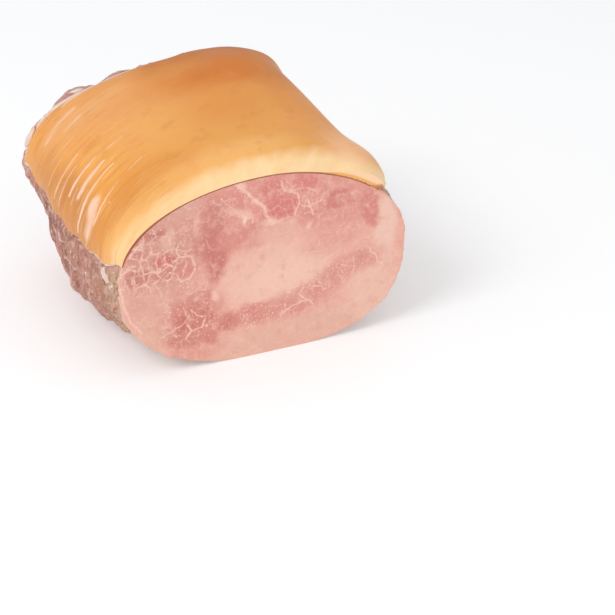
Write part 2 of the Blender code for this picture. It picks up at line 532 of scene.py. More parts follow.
def lay(piece: Piece, points: Array) -> None:
    """Moves a piece's points to new places, one row (x, y, z) a point."""
    piece.data.vertices.foreach_set("co", points.astype(np.float32).ravel())
    piece.data.update()


def chart(piece: Piece, u: Array, v: Array) -> None:
    """Gives a piece a UV map from one (u, v) a point.

    Args:
        piece: the piece.
        u: the first coordinate of each point.
        v: the second coordinate of each point.
    """
    layer = piece.data.uv_layers.active or piece.data.uv_layers.new(name="surface")
    corners = np.empty(len(piece.data.loops), dtype=np.int32)
    piece.data.loops.foreach_get("vertex_index", corners)
    pairs = np.stack((u[corners], v[corners]), axis=1)
    layer.data.foreach_set("uv", pairs.astype(np.float32).ravel())


def edit_all(piece: Piece) -> None:
    """Opens a piece in edit mode with all of it selected.

    Args:
        piece: the piece.
    """
    choose(piece)
    bpy.ops.object.mode_set(mode="EDIT")
    bpy.ops.mesh.select_all(action="SELECT")


def merge(piece: Piece, distance: float) -> None:
    """Joins a piece's points that lie together, which closes its seams.

    Args:
        piece: the piece.
        distance: how near to each other such points lie.
    """
    edit_all(piece)
    bpy.ops.mesh.remove_doubles(threshold=distance)
    bpy.ops.object.mode_set(mode="OBJECT")


def smooth(piece: Piece, degrees: float = 40.0) -> None:
    """Shades a piece smooth, with edges past an angle kept crisp."""
    choose(piece)
    bpy.ops.object.shade_smooth_by_angle(angle=math.radians(degrees))


def give_wall(piece: Piece, thickness: float, rim: float, group: str = "") -> None:
    """Thickens a sheet inwards and rounds its rims.

    Args:
        piece: the sheet.
        thickness: its wall.
        rim: how wide the rounding is.
        group: a vertex group that thins the wall, if any.
    """
    solid = piece.modifiers.new("wall", "SOLIDIFY")
    solid.thickness = thickness
    solid.offset = -1.0
    solid.vertex_group = group
    rims = piece.modifiers.new("rims", "BEVEL")
    rims.width = rim
    rims.segments = RIM_SEGMENTS
    rims.limit_method = "ANGLE"
    rims.angle_limit = math.radians(RIM_ANGLE)
    choose(piece)
    for modifier in list(piece.modifiers):
        bpy.ops.object.modifier_apply(modifier=modifier.name)


def enlist(piece: Piece) -> None:
    """Lets a piece ride on the ham's body, and hides the imported solid that it stands for.

    Args:
        piece: the piece.
    """
    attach(piece, BODY)
    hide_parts(NODE)


# Shader maths


@dataclass(frozen=True)
class Grain:
    """Noise of a size, with finer noise over it."""

    size: float
    detail: float = 2.0
    roughness: float = 0.5


@dataclass(frozen=True)
class Coat:
    """A colour, the steps of a pattern between which it sets in, and the share of it that shows."""

    colour: Colour
    steps: Point
    share: float


class Value:
    """A number that varies over a surface: a socket with Python's arithmetic."""

    def __init__(self, shades: "Shades", socket: Socket) -> None:
        """Wraps a socket of a material's nodes."""
        self.shades = shades
        self.socket = socket

    def __add__(self, other: "Value | float") -> "Value":
        """Sum."""
        return self.shades.maths("ADD", self, other)

    __radd__ = __add__

    def __sub__(self, other: "Value | float") -> "Value":
        """Difference."""
        return self.shades.maths("SUBTRACT", self, other)

    def __rsub__(self, other: float) -> "Value":
        """Difference, the other way round."""
        return self.shades.maths("SUBTRACT", other, self)

    def __mul__(self, other: "Value | float") -> "Value":
        """Product."""
        return self.shades.maths("MULTIPLY", self, other)

    __rmul__ = __mul__

    def __truediv__(self, other: "Value | float") -> "Value":
        """Quotient."""
        return self.shades.maths("DIVIDE", self, other)

    def __pow__(self, other: float) -> "Value":
        """Power."""
        return self.shades.maths("POWER", self, other)

    def least(self, other: "Value | float") -> "Value":
        """The smaller of two."""
        return self.shades.maths("MINIMUM", self, other)

    def most(self, other: "Value | float") -> "Value":
        """The larger of two."""
        return self.shades.maths("MAXIMUM", self, other)

    def step(self, low: float, high: float) -> "Value":
        """A smooth step: 0 at low, 1 at high; high may be the smaller.

        Args:
            low: where the step starts.
            high: where it ends.

        Returns:
            The stepped number.
        """
        settings = {"interpolation_type": "SMOOTHSTEP", "clamp": False}
        sockets = {"Value": self, "From Min": low, "From Max": high}
        if low > high:
            sockets = {"Value": self, "From Min": high, "From Max": low, "To Min": 1.0, "To Max": 0.0}
        return self.shades.value("ShaderNodeMapRange", settings, sockets, "Result")


class Shades:
    """The nodes of one material, made by expressions."""

    def __init__(self, name: str) -> None:
        """Starts a material with one principled shader.

        Args:
            name: the material's name.
        """
        self.material = bpy.data.materials.new(name)
        self.material.use_nodes = True
        self.tree = self.material.node_tree
        self.shader = self.tree.nodes["Principled BSDF"]
        self.turned_places: dict[tuple[str, float], Socket] = {}

    def node(self, kind: str, settings: dict, sockets: dict) -> bpy.types.Node:
        """Adds a node.

        Args:
            kind: the node's type.
            settings: its properties, set first.
            sockets: values or links for its inputs, by name or by place.

        Returns:
            The node.
        """
        node = self.tree.nodes.new(kind)
        for name, setting in settings.items():
            setattr(node, name, setting)
        for name, given in sockets.items():
            self.feed(node.inputs[name], given)
        return node

    def feed(self, entry: Socket, given: object) -> None:
        """Sets an input to a constant, or links it to a value or a socket.

        Args:
            entry: a node's input.
            given: the constant, value or socket for it.
        """
        if isinstance(given, Value):
            given = given.socket
        if isinstance(given, Socket):
            self.tree.links.new(given, entry)
        else:
            entry.default_value = given

    def value(self, kind: str, settings: dict, sockets: dict, output: str | int = 0) -> Value:
        """Adds a node and returns one of its outputs as a value."""
        return Value(self, self.node(kind, settings, sockets).outputs[output])

    def maths(self, operation: str, first: Value | float, second: Value | float) -> Value:
        """Adds one step of arithmetic."""
        return self.value("ShaderNodeMath", {"operation": operation}, {0: first, 1: second})

    def places(self) -> Socket:
        """Places on the piece itself, in metres."""
        return self.node("ShaderNodeTexCoord", {}, {}).outputs["Object"]

    def split(self, place: object) -> tuple[Value, Value, Value]:
        """The three coordinates of a place."""
        parts = self.node("ShaderNodeSeparateXYZ", {}, {0: place}).outputs
        return tuple(Value(self, part) for part in parts)

    def close(
        self, colour: object, normal: Socket, roughness: Value | float, specular: float = 0.5
    ) -> Finish:
        """Feeds the shader and gives the material back.

        Args:
            colour: the base colour.
            normal: the normal, tilted by the fine relief.
            roughness: how rough the surface is.
            specular: how strongly it shines.

        Returns:
            The material.
        """
        for name, given in (("Base Color", colour), ("Normal", normal), ("Roughness", roughness)):
            self.feed(self.shader.inputs[name], given)
        self.shader.inputs["Specular IOR Level"].default_value = specular
        return self.material

    def vector(self, operation: str, first: object, second: object) -> Socket:
        """Adds one step of vector arithmetic; returns the vector."""
        node = self.node("ShaderNodeVectorMath", {"operation": operation}, {0: first, 1: second})
        return node.outputs["Vector"]

    def blend(self, under: object, over: object, share: Value | float) -> Socket:
        """Lays one colour over another.

        Args:
            under: the colour where the share is 0.
            over: the colour where the share is 1.
            share: how much of the second shows.

        Returns:
            The mixed colour.
        """
        node = self.tree.nodes.new("ShaderNodeMix")
        node.data_type = "RGBA"
        self.feed(node.inputs[0], share)
        self.feed(node.inputs[6], under)
        self.feed(node.inputs[7], over)
        return node.outputs[2]

    def coated(self, under: object, pattern: Value, coats: Coats, within: Value | None = None) -> Socket:
        """Lays coats of colour in turn.

        Args:
            under: the colour below them.
            pattern: what says where each coat lies.
            coats: the coats.
            within: the place that they keep to, if any.

        Returns:
            The colour with the coats.
        """
        for coat in coats:
            share = pattern.step(*coat.steps) * coat.share
            under = self.blend(under, coat.colour, share if within is None else share * within)
        return under

    def grain(self, place: object, grain: Grain) -> Value:
        """Noise, 0 to 1, at each place.

        Args:
            place: the places.
            grain: how large and how detailed the noise is.

        Returns:
            The noise.
        """
        sockets = {"Vector": place, "Scale": 1 / grain.size, "Detail": grain.detail}
        sockets["Roughness"] = grain.roughness
        return self.value("ShaderNodeTexNoise", {}, sockets, 0)

    def cells(self, place: object, size: float, dimensions: str = "3D") -> Value:
        """How far places lie from the seams between cells, in cells."""
        settings = {"feature": "DISTANCE_TO_EDGE", "voronoi_dimensions": dimensions}
        return self.value("ShaderNodeTexVoronoi", settings, {"Vector": place, "Scale": 1 / size}, "Distance")

    def warp(self, place: object, pushes: tuple[Point, ...], deep: bool = False) -> Socket:
        """Pushes places about, so that what is drawn there has uneven edges.

        Args:
            place: the places.
            pushes: how large each push is across, and how far it goes.
            deep: whether they push along the third axis too.

        Returns:
            The moved places.
        """
        for size, amount in pushes:
            sockets = {"Vector": place, "Scale": 1 / size, "Detail": PUSH_DETAIL}
            push = self.node("ShaderNodeTexNoise", {}, sockets).outputs["Color"]
            centred = self.vector("SUBTRACT", push, (MIDDLE, MIDDLE, MIDDLE))
            reach = (2 * amount, 2 * amount, 2 * amount if deep else 0.0)
            place = self.vector("ADD", place, self.vector("MULTIPLY", centred, reach))
        return place

    def turned(self, place: object, tilt: float) -> object:
        """Places seen from axes turned by an angle in degrees; each pair is made once.

        Args:
            place: the places.
            tilt: the angle.

        Returns:
            The places seen from the turned axes.
        """
        if tilt == 0:
            return place
        key = (place.node.name, tilt)
        if key not in self.turned_places:
            cosine, sine = math.cos(math.radians(tilt)), math.sin(math.radians(tilt))
            ahead = self.dot(place, (cosine, sine, 0.0))
            aside = self.dot(place, (-sine, cosine, 0.0))
            node = self.node("ShaderNodeCombineXYZ", {}, {0: ahead, 1: aside})
            self.turned_places[key] = node.outputs[0]
        return self.turned_places[key]

    def framed(self, place: object, centre: Point, size: Point, tilt: float) -> Socket:
        """Places seen from an oval's own frame, where its rim is one unit from its centre.

        Args:
            place: the places.
            centre: the oval's centre.
            size: its half width and half height.
            tilt: how far it is turned, in degrees.

        Returns:
            The places in its frame.
        """
        cosine, sine = math.cos(math.radians(tilt)), math.sin(math.radians(tilt))
        ahead = (centre[0] * cosine + centre[1] * sine) / size[0]
        aside = (centre[1] * cosine - centre[0] * sine) / size[1]
        sockets = {0: self.turned(place, tilt), 1: (1 / size[0], 1 / size[1], 0.0), 2: (-ahead, -aside, 0.0)}
        node = self.node("ShaderNodeVectorMath", {"operation": "MULTIPLY_ADD"}, sockets)
        return node.outputs["Vector"]

    def dot(self, first: object, second: object) -> Value:
        """The dot product of two vectors."""
        settings = {"operation": "DOT_PRODUCT"}
        return self.value("ShaderNodeVectorMath", settings, {0: first, 1: second}, "Value")

    def from_run(self, place: object, start: Point, end: Point) -> Value:
        """How far places lie from a straight run between two points.

        Args:
            place: the places.
            start: where the run starts.
            end: where it ends.

        Returns:
            The distance of each place.
        """
        run = (end[0] - start[0], end[1] - start[1], 0.0)
        past = self.vector("SUBTRACT", place, (*start, 0.0))
        share = (self.dot(past, run) * (1 / math.dist(start, end) ** 2)).most(0.0).least(1.0)
        node = self.node("ShaderNodeVectorMath", {"operation": "SCALE"}, {0: run, "Scale": share})
        sockets = {0: past, 1: node.outputs["Vector"]}
        return self.value("ShaderNodeVectorMath", {"operation": "DISTANCE"}, sockets, "Value")

    def length(self, place: object) -> Value:
        """How long a vector is."""
        return self.value("ShaderNodeVectorMath", {"operation": "LENGTH"}, {0: place}, "Value")

    def bump(self, height: Value, distance: float, strength: float = 1.0) -> Socket:
        """A normal that a height tilts."""
        sockets = {"Height": height, "Distance": distance, "Strength": strength}
        return self.node("ShaderNodeBump", {}, sockets).outputs["Normal"]


@dataclass(frozen=True)
class Oval:
    """A soft oval place on a surface, in millimetres."""

    centre: Point
    size: Point
    tilt: float = 0.0
    soft: float = 0.45
    strength: float = 1.0

    def mask(self, shades: Shades, place: object) -> Value:
        """The strength inside the oval, 0 outside, with a soft edge."""
        away = shades.length(shades.framed(place, self.centre, self.size, self.tilt))
        return away.step(1 + self.soft, 1 - self.soft) * self.strength


@dataclass(frozen=True)
class Patch:
    """A soft oval of colour on a surface, in millimetres, and 0 to 255 a channel."""

    centre: Point
    size: Point
    colour: tuple[int, int, int]
    tilt: float = 0.0
    soft: float = 0.45
    strength: float = 1.0

    def paint(self, shades: Shades, under: object, place: object) -> Socket:
        """Lays the oval over a colour."""
        oval = Oval(self.centre, self.size, self.tilt, self.soft, self.strength)
        return shades.blend(under, tone(*self.colour), oval.mask(shades, place))


@dataclass(frozen=True)
class Thread:
    """A fine line through a few points, in millimetres: a sinew, a scorch or a painted glint."""

    points: tuple[Point, ...]
    width: float
    strength: float = 0.8
    soft: float = 0.8

    def mask(self, shades: Shades, place: object) -> Value:
        """1 on the line, falling to 0 beside it.

        Args:
            shades: the nodes of the material.
            place: the places.

        Returns:
            The strength of the line at each place.
        """
        nearest = None
        for start, end in zip(self.points, self.points[1:]):
            away = shades.from_run(place, start, end)
            nearest = away if nearest is None else nearest.least(away)
        half = self.width / 2
        return nearest.step(half * (1 + self.soft), half * (1 - self.soft)) * self.strength


def drawn_lines(shades: Shades, threads: tuple[Thread, ...], place: object) -> Value:
    """The strongest of many threads at each place.

    Args:
        shades: the nodes of the material.
        threads: the lines.
        place: the places.

    Returns:
        The strength of the strongest line.
    """
    lines = None
    for thread in threads:
        mask = thread.mask(shades, place)
        lines = mask if lines is None else lines.most(mask)
    return lines


def field_of(shades: Shades, ovals: tuple[Oval, ...], place: object) -> Value:
    """The strongest of several ovals at each place.

    Args:
        shades: the nodes of the material.
        ovals: the ovals.
        place: the places.

    Returns:
        The strength of the strongest oval.
    """
    share = None
    for oval in ovals:
        mask = oval.mask(shades, place)
        share = mask if share is None else share.most(mask)
    return share


# Finishes


@dataclass(frozen=True)
class CutFace:
    """The marbled cut: pale and dark muscles, sinews and flecks, placed from the cut's own centre."""

    base: Colour = tone(238, 178, 163)
    sinew: Colour = tone(252, 208, 194)
    fleck: Colour = tone(254, 216, 202)
    tint: tuple[float, float, float] = (0.95, 0.93, 0.90)
    roughness: float = 0.42
    uneven_gloss: float = 0.2
    specular: float = 0.35
    relief: Point = (0.0004, 0.6)
    mottle_relief: float = 0.8
    pore_relief: float = 0.5
    fine_pushes: tuple[Point, ...] = ((7.0, 1.5), (2.2, 0.5))
    loose_pushes: tuple[Point, ...] = ((15.0, 4.0), (4.0, 1.8))
    mottle: Grain = Grain(4.0)
    cloud: Grain = Grain(9.0, 4.0, 0.6)
    wear: Grain = Grain(3.0)
    wear_steps: Point = (0.35, 0.60)
    wear_least: float = 0.5
    speck: Grain = Grain(1.0, 1.0, 0.4)
    speck_steps: Point = (0.60, 0.70)
    speck_size: Point = (1.2, 2.1)
    speck_tilt: float = 15.0
    thicket: Grain = Grain(11.0, 1.0)
    thicket_steps: Point = (0.40, 0.60)
    thicket_least: float = 0.25
    thicket_more: float = 0.60
    pores: Grain = Grain(0.9)
    broad_broken: Grain = Grain(5.0)
    broad_steps: Point = (0.42, 0.60)
    broad_least: float = 0.3
    hair_broken: Grain = Grain(6.5)
    hair_steps: Point = (0.50, 0.64)
    broad_net: Point = (10.5, 0.115)
    hair_net: Point = (3.8, 0.12)
    clouds: Coats = (
        Coat(tone(248, 208, 193), (0.50, 0.74), 0.40),
        Coat(tone(204, 126, 114), (0.48, 0.26), 0.28),
    )
    mottles: Coats = (
        Coat(tone(246, 200, 186), (0.54, 0.72), 0.30),
        Coat(tone(218, 146, 134), (0.50, 0.20), 0.16),
    )
    speck_zones: tuple[Oval, ...] = (
        Oval((0, 70), (130, 90), 0, 0.2, 0.35),
        Oval((-60, 42), (26, 28), 0, 0.4, 1.0),
        Oval((-10, 32), (44, 13), 4, 0.4, 1.0),
        Oval((50, 50), (46, 14), 18, 0.4, 0.9),
        Oval((-86, 96), (30, 30), 0, 0.4, 0.9),
        Oval((0, 120), (70, 18), 0, 0.4, 0.6),
    )
    broad_zones: tuple[Oval, ...] = (
        Oval((-84, 90), (30, 24), 0, 0.3, 0.80),
        Oval((-60, 38), (24, 26), 0, 0.3, 0.30),
        Oval((30, 112), (56, 22), 0, 0.4, 0.3),
    )
    hair_zones: tuple[Oval, ...] = (
        Oval((-78, 76), (36, 50), 0, 0.3, 0.45),
        Oval((-46, 34), (44, 26), 0, 0.3, 0.40),
        Oval((40, 44), (60, 18), 15, 0.4, 0.7),
        Oval((0, 124), (90, 20), 0, 0.4, 0.6),
        Oval((60, 78), (44, 20), 0, 0.4, 0.4),
    )
    patches: tuple[Patch, ...] = (
        Patch((-10, 122), (104, 30), (227, 157, 145), 0, 0.35),
        Patch((-82, 94), (34, 38), (215, 154, 141), 0, 0.4),
        Patch((58, 106), (36, 18), (226, 156, 145), 0, 0.5, 0.9),
        Patch((8, 63), (47, 23), (242, 194, 176), 8, 0.6),
        Patch((14, 58), (30, 13), (246, 204, 186), 10, 0.7, 0.8),
        Patch((20, 11), (88, 15), (232, 184, 167), 3, 0.5, 0.9),
        Patch((96, 82), (8.5, 28), (243, 200, 185), 0, 0.35),
        Patch((84, 34), (20, 24), (241, 193, 177), -20, 0.5),
        Patch((-84, 57), (24, 13), (226, 170, 155), 0, 0.6),
        Patch((-88, 34), (14, 16), (231, 180, 162), -20, 0.5),
        Patch((-64, 10), (28, 9), (229, 164, 149), 12, 0.5),
        Patch((-73, 105), (4.5, 8), (238, 194, 172), -10, 0.6, 0.6),
        Patch((-62, 124), (15, 6), (222, 168, 154), 22, 0.5),
        Patch((-50, 108), (3.6, 13), (237, 186, 170), 5, 0.5, 0.8),
        Patch((-38, 115), (10, 14), (211, 138, 128), -8, 0.5),
        Patch((-40, 94), (13, 14), (206, 127, 117), 12, 0.5),
        Patch((-37, 80), (7, 15), (206, 126, 116), -12, 0.5),
        Patch((-16, 95), (19, 9), (221, 147, 135), 6, 0.45),
        Patch((-17, 124), (9, 7), (222, 149, 137), -12, 0.4),
        Patch((-18, 114), (11, 3.2), (240, 190, 175), -25, 0.5, 0.8),
        Patch((28, 134), (46, 5), (226, 152, 140), -4, 0.4),
        Patch((14, 96), (23, 7.5), (236, 182, 167), 8, 0.5, 0.85),
        Patch((55, 84), (22, 12), (228, 160, 148), 18, 0.7, 0.75),
        Patch((5, 128), (9, 8), (219, 134, 126), 0, 0.35),
        Patch((13, 113), (15, 9.5), (218, 130, 122), 6, 0.3),
        Patch((31, 129), (10.5, 6), (222, 136, 129), -12, 0.3),
        Patch((34, 103), (8, 9), (224, 150, 140), 0, 0.4),
        Patch((57, 112), (11, 7), (213, 130, 120), 20, 0.35),
        Patch((65, 108), (5, 6), (221, 146, 136), 0, 0.3),
        Patch((82, 102), (8, 11), (219, 140, 132), 4, 0.3),
        Patch((84, 93), (5.5, 9), (218, 138, 131), 28, 0.5),
        Patch((-96, 108), (3.4, 4), (196, 126, 114), 0, 0.3),
        Patch((-83, 110), (7.5, 4.6), (199, 130, 118), 10, 0.3),
        Patch((-98, 99), (6, 4), (206, 136, 126), 0, 0.35),
        Patch((-74, 89), (9, 5.6), (206, 128, 119), 5, 0.4),
        Patch((-76, 88), (4.6, 2.2), (220, 112, 112), 5, 0.6, 0.7),
        Patch((-100, 79), (6.5, 7), (202, 133, 121), 0, 0.3),
        Patch((-91, 80), (4.6, 4.4), (203, 133, 122), 0, 0.25),
        Patch((-82, 77), (3.6, 4.2), (208, 138, 127), 0, 0.25),
        Patch((-74, 79), (5.4, 4.6), (208, 136, 127), 0, 0.25),
        Patch((-60, 79), (8.4, 7.4), (216, 142, 132), 0, 0.2),
        Patch((-56, 40), (22, 20), (212, 136, 122), 28, 0.55),
        Patch((-60, 38), (8, 7), (202, 116, 104), 20, 0.45),
        Patch((-46, 41), (4.5, 5), (206, 124, 113), 20, 0.5),
        Patch((-46, 56), (6, 7), (216, 142, 130), 20, 0.45),
        Patch((-62, 25), (13, 6), (210, 138, 124), 5, 0.45),
        Patch((-42, 24), (5, 7), (214, 136, 126), 5, 0.45),
        Patch((-29, 31), (9, 7.5), (210, 131, 119), 8, 0.6),
        Patch((-8, 34), (16, 9), (219, 146, 134), 0, 0.5),
        Patch((22, 36), (24, 10), (223, 154, 141), 6, 0.55),
        Patch((46, 46), (17, 10), (223, 155, 143), 20, 0.55),
        Patch((72, 59), (21, 9), (224, 157, 146), 8, 0.6),
        Patch((-17, 134), (3, 4.6), (249, 206, 190), 30, 0.6, 0.8),
        Patch((-15.5, 108), (1.5, 4.2), (255, 222, 204), 0, 0.7, 0.8),
        Patch((4, 103), (6, 2.4), (250, 208, 190), -8, 0.8, 0.6),
        Patch((35, 96), (2.0, 3.4), (252, 212, 196), -30, 0.8, 0.6),
        Patch((-39, 54), (2.4, 4), (250, 208, 192), 20, 0.6, 0.7),
    )
    threads: tuple[Thread, ...] = (
        Thread(((-23, 138), (-17, 132), (-12, 128)), 1.5),
        Thread(((-109, 74), (-107, 60), (-102, 47), (-95, 37)), 1.8, 0.7),
        Thread(((-84, 74), (-80, 68), (-78, 62)), 0.9, 0.5),
        Thread(((-110, 86), (-104, 80), (-106, 74)), 1.0, 0.6),
        Thread(((-12, 128), (-8, 123), (-1, 117), (2, 109), (6, 102)), 2.6, 0.9),
        Thread(((6, 102), (14, 103), (20, 105)), 1.2, 0.7),
        Thread(((13, 133), (15, 126), (26, 122), (27, 114), (23, 106)), 1.5),
        Thread(((15, 126), (32, 124), (40, 121)), 1.0, 0.6),
        Thread(((29, 112), (35, 110), (44, 113)), 1.3, 0.8),
        Thread(((33, 116), (36, 109), (38, 103)), 1.2, 0.8),
        Thread(((40, 116), (41, 107), (31, 105)), 1.0, 0.6),
        Thread(((-112, 78), (-104, 88), (-97, 90)), 1.2, 0.7),
        Thread(((-97, 72), (-99, 80), (-97, 86), (-103, 88)), 1.2),
        Thread(((-99, 72), (-90, 75), (-86, 82), (-80, 82)), 1.2),
        Thread(
            ((-80, 82), (-72, 85), (-65, 90), (-56, 89), (-53, 81), (-56, 73), (-64, 71), (-67, 77)),
            1.3,
            0.9,
        ),
        Thread(((-80, 82), (-82, 90), (-80, 96)), 1.1),
        Thread(((-65, 90), (-67, 97)), 1.1),
        Thread(((-66, 89), (-68, 82), (-79, 74)), 0.9, 0.6),
        Thread(((-93, 88), (-91, 82), (-80, 82)), 1.1),
        Thread(((-107, 97), (-100, 103), (-91, 101)), 1.2),
        Thread(((-92, 101), (-90, 108), (-91, 115)), 1.1),
        Thread(((-92, 92), (-91, 101)), 1.0, 0.6),
        Thread(((-57, 60), (-52, 62), (-46, 61), (-44, 66)), 1.0, 0.7),
        Thread(((-80, 30), (-72, 34), (-64, 37), (-58, 43)), 1.2),
        Thread(((-61, 38), (-57, 31), (-49, 32), (-47, 38)), 1.3, 0.9),
        Thread(((-57, 31), (-62, 25)), 1.2),
        Thread(((-57, 47), (-53, 42), (-48, 40)), 1.0, 0.7),
        Thread(((-62, 49), (-60, 42)), 1.0, 0.7),
        Thread(((12, 29), (20, 33), (32, 36)), 1.2),
        Thread(((26, 42), (32, 37), (38, 31)), 1.0, 0.8),
        Thread(((26, 42), (30, 46)), 0.9, 0.7),
        Thread(((38, 46), (44, 45), (47, 42)), 1.1, 0.8),
        Thread(((46, 64), (58, 71)), 0.8, 0.5),
        Thread(((30, 74), (44, 73), (56, 76)), 0.8, 0.4),
        Thread(((84, 65), (88, 61), (90, 55), (94, 53)), 1.3, 0.9),
        Thread(((70, 64), (71, 55), (69, 50)), 0.9, 0.6),
        Thread(((-44, 100), (-43, 94), (-40, 90)), 0.8, 0.5),
        Thread(((-13, 110), (-9, 109), (-9, 106)), 1.0, 0.7),
        Thread(((-32, 128), (-27, 122), (-20, 115)), 1.0, 0.5),
        Thread(((-40, 127), (-33, 124)), 1.0, 0.5),
    )

    def build(self, form: HamForm) -> Finish:
        """Makes the material.

        Args:
            form: the ham, whose middle the pattern is placed from.

        Returns:
            The material.
        """
        shades = Shades("cut_ham")
        across, _, up = shades.split(shades.places())
        sockets = {0: across * MM + form.middle_x * MM, 1: up * MM}
        flat = shades.node("ShaderNodeCombineXYZ", {}, sockets).outputs[0]
        fine = shades.warp(flat, self.fine_pushes)
        loose = shades.warp(flat, self.loose_pushes)

        mottle = shades.grain(flat, self.mottle)
        colour = self.base
        for patch in self.patches:
            colour = patch.paint(shades, colour, loose)
        colour = shades.coated(colour, shades.grain(loose, self.cloud), self.clouds)
        colour = shades.coated(colour, mottle, self.mottles)

        worn = (1 - self.wear_least) * shades.grain(flat, self.wear).step(*self.wear_steps)
        worn = self.wear_least + worn
        lines = (drawn_lines(shades, self.threads, fine) * worn).most(self.veins(shades, loose, flat))
        colour = shades.blend(colour, self.sinew, lines)
        flecked = shades.framed(fine, (0, 0), self.speck_size, self.speck_tilt)
        specks = shades.grain(flecked, self.speck).step(*self.speck_steps)
        thick = self.thicket_more * shades.grain(flat, self.thicket).step(*self.thicket_steps)
        thick = self.thicket_least + thick
        colour = shades.blend(colour, self.fleck, specks * thick * field_of(shades, self.speck_zones, flat))

        tinted = shades.vector("MULTIPLY", colour, self.tint)
        height = mottle * self.mottle_relief + shades.grain(flat, self.pores) * self.pore_relief
        wet = self.roughness + (mottle - MIDDLE) * self.uneven_gloss
        return shades.close(tinted, shades.bump(height, *self.relief), wet, self.specular)

    def veins(self, shades: Shades, loose: object, flat: object) -> Value:
        """A net of fine fat seams between fibres, thickest in the darker muscles.

        Args:
            shades: the nodes of the material.
            loose: the places with uneven edges.
            flat: the places as they are.

        Returns:
            The strength of the net.
        """
        broken = (1 - self.broad_least) * shades.grain(flat, self.broad_broken).step(*self.broad_steps)
        broad = self.net(shades, loose, self.broad_net) * (self.broad_least + broken)
        hair = self.net(shades, loose, self.hair_net)
        hair = hair * shades.grain(flat, self.hair_broken).step(*self.hair_steps)
        share = field_of(shades, self.broad_zones, flat)
        haired = field_of(shades, self.hair_zones, flat)
        return (broad * share).most(hair * haired)

    def net(self, shades: Shades, place: object, net: Point) -> Value:
        """Thin lines round cells, from the cells' size and the lines' share of it."""
        return shades.cells(place, net[0], "2D").step(net[1], 0.0)


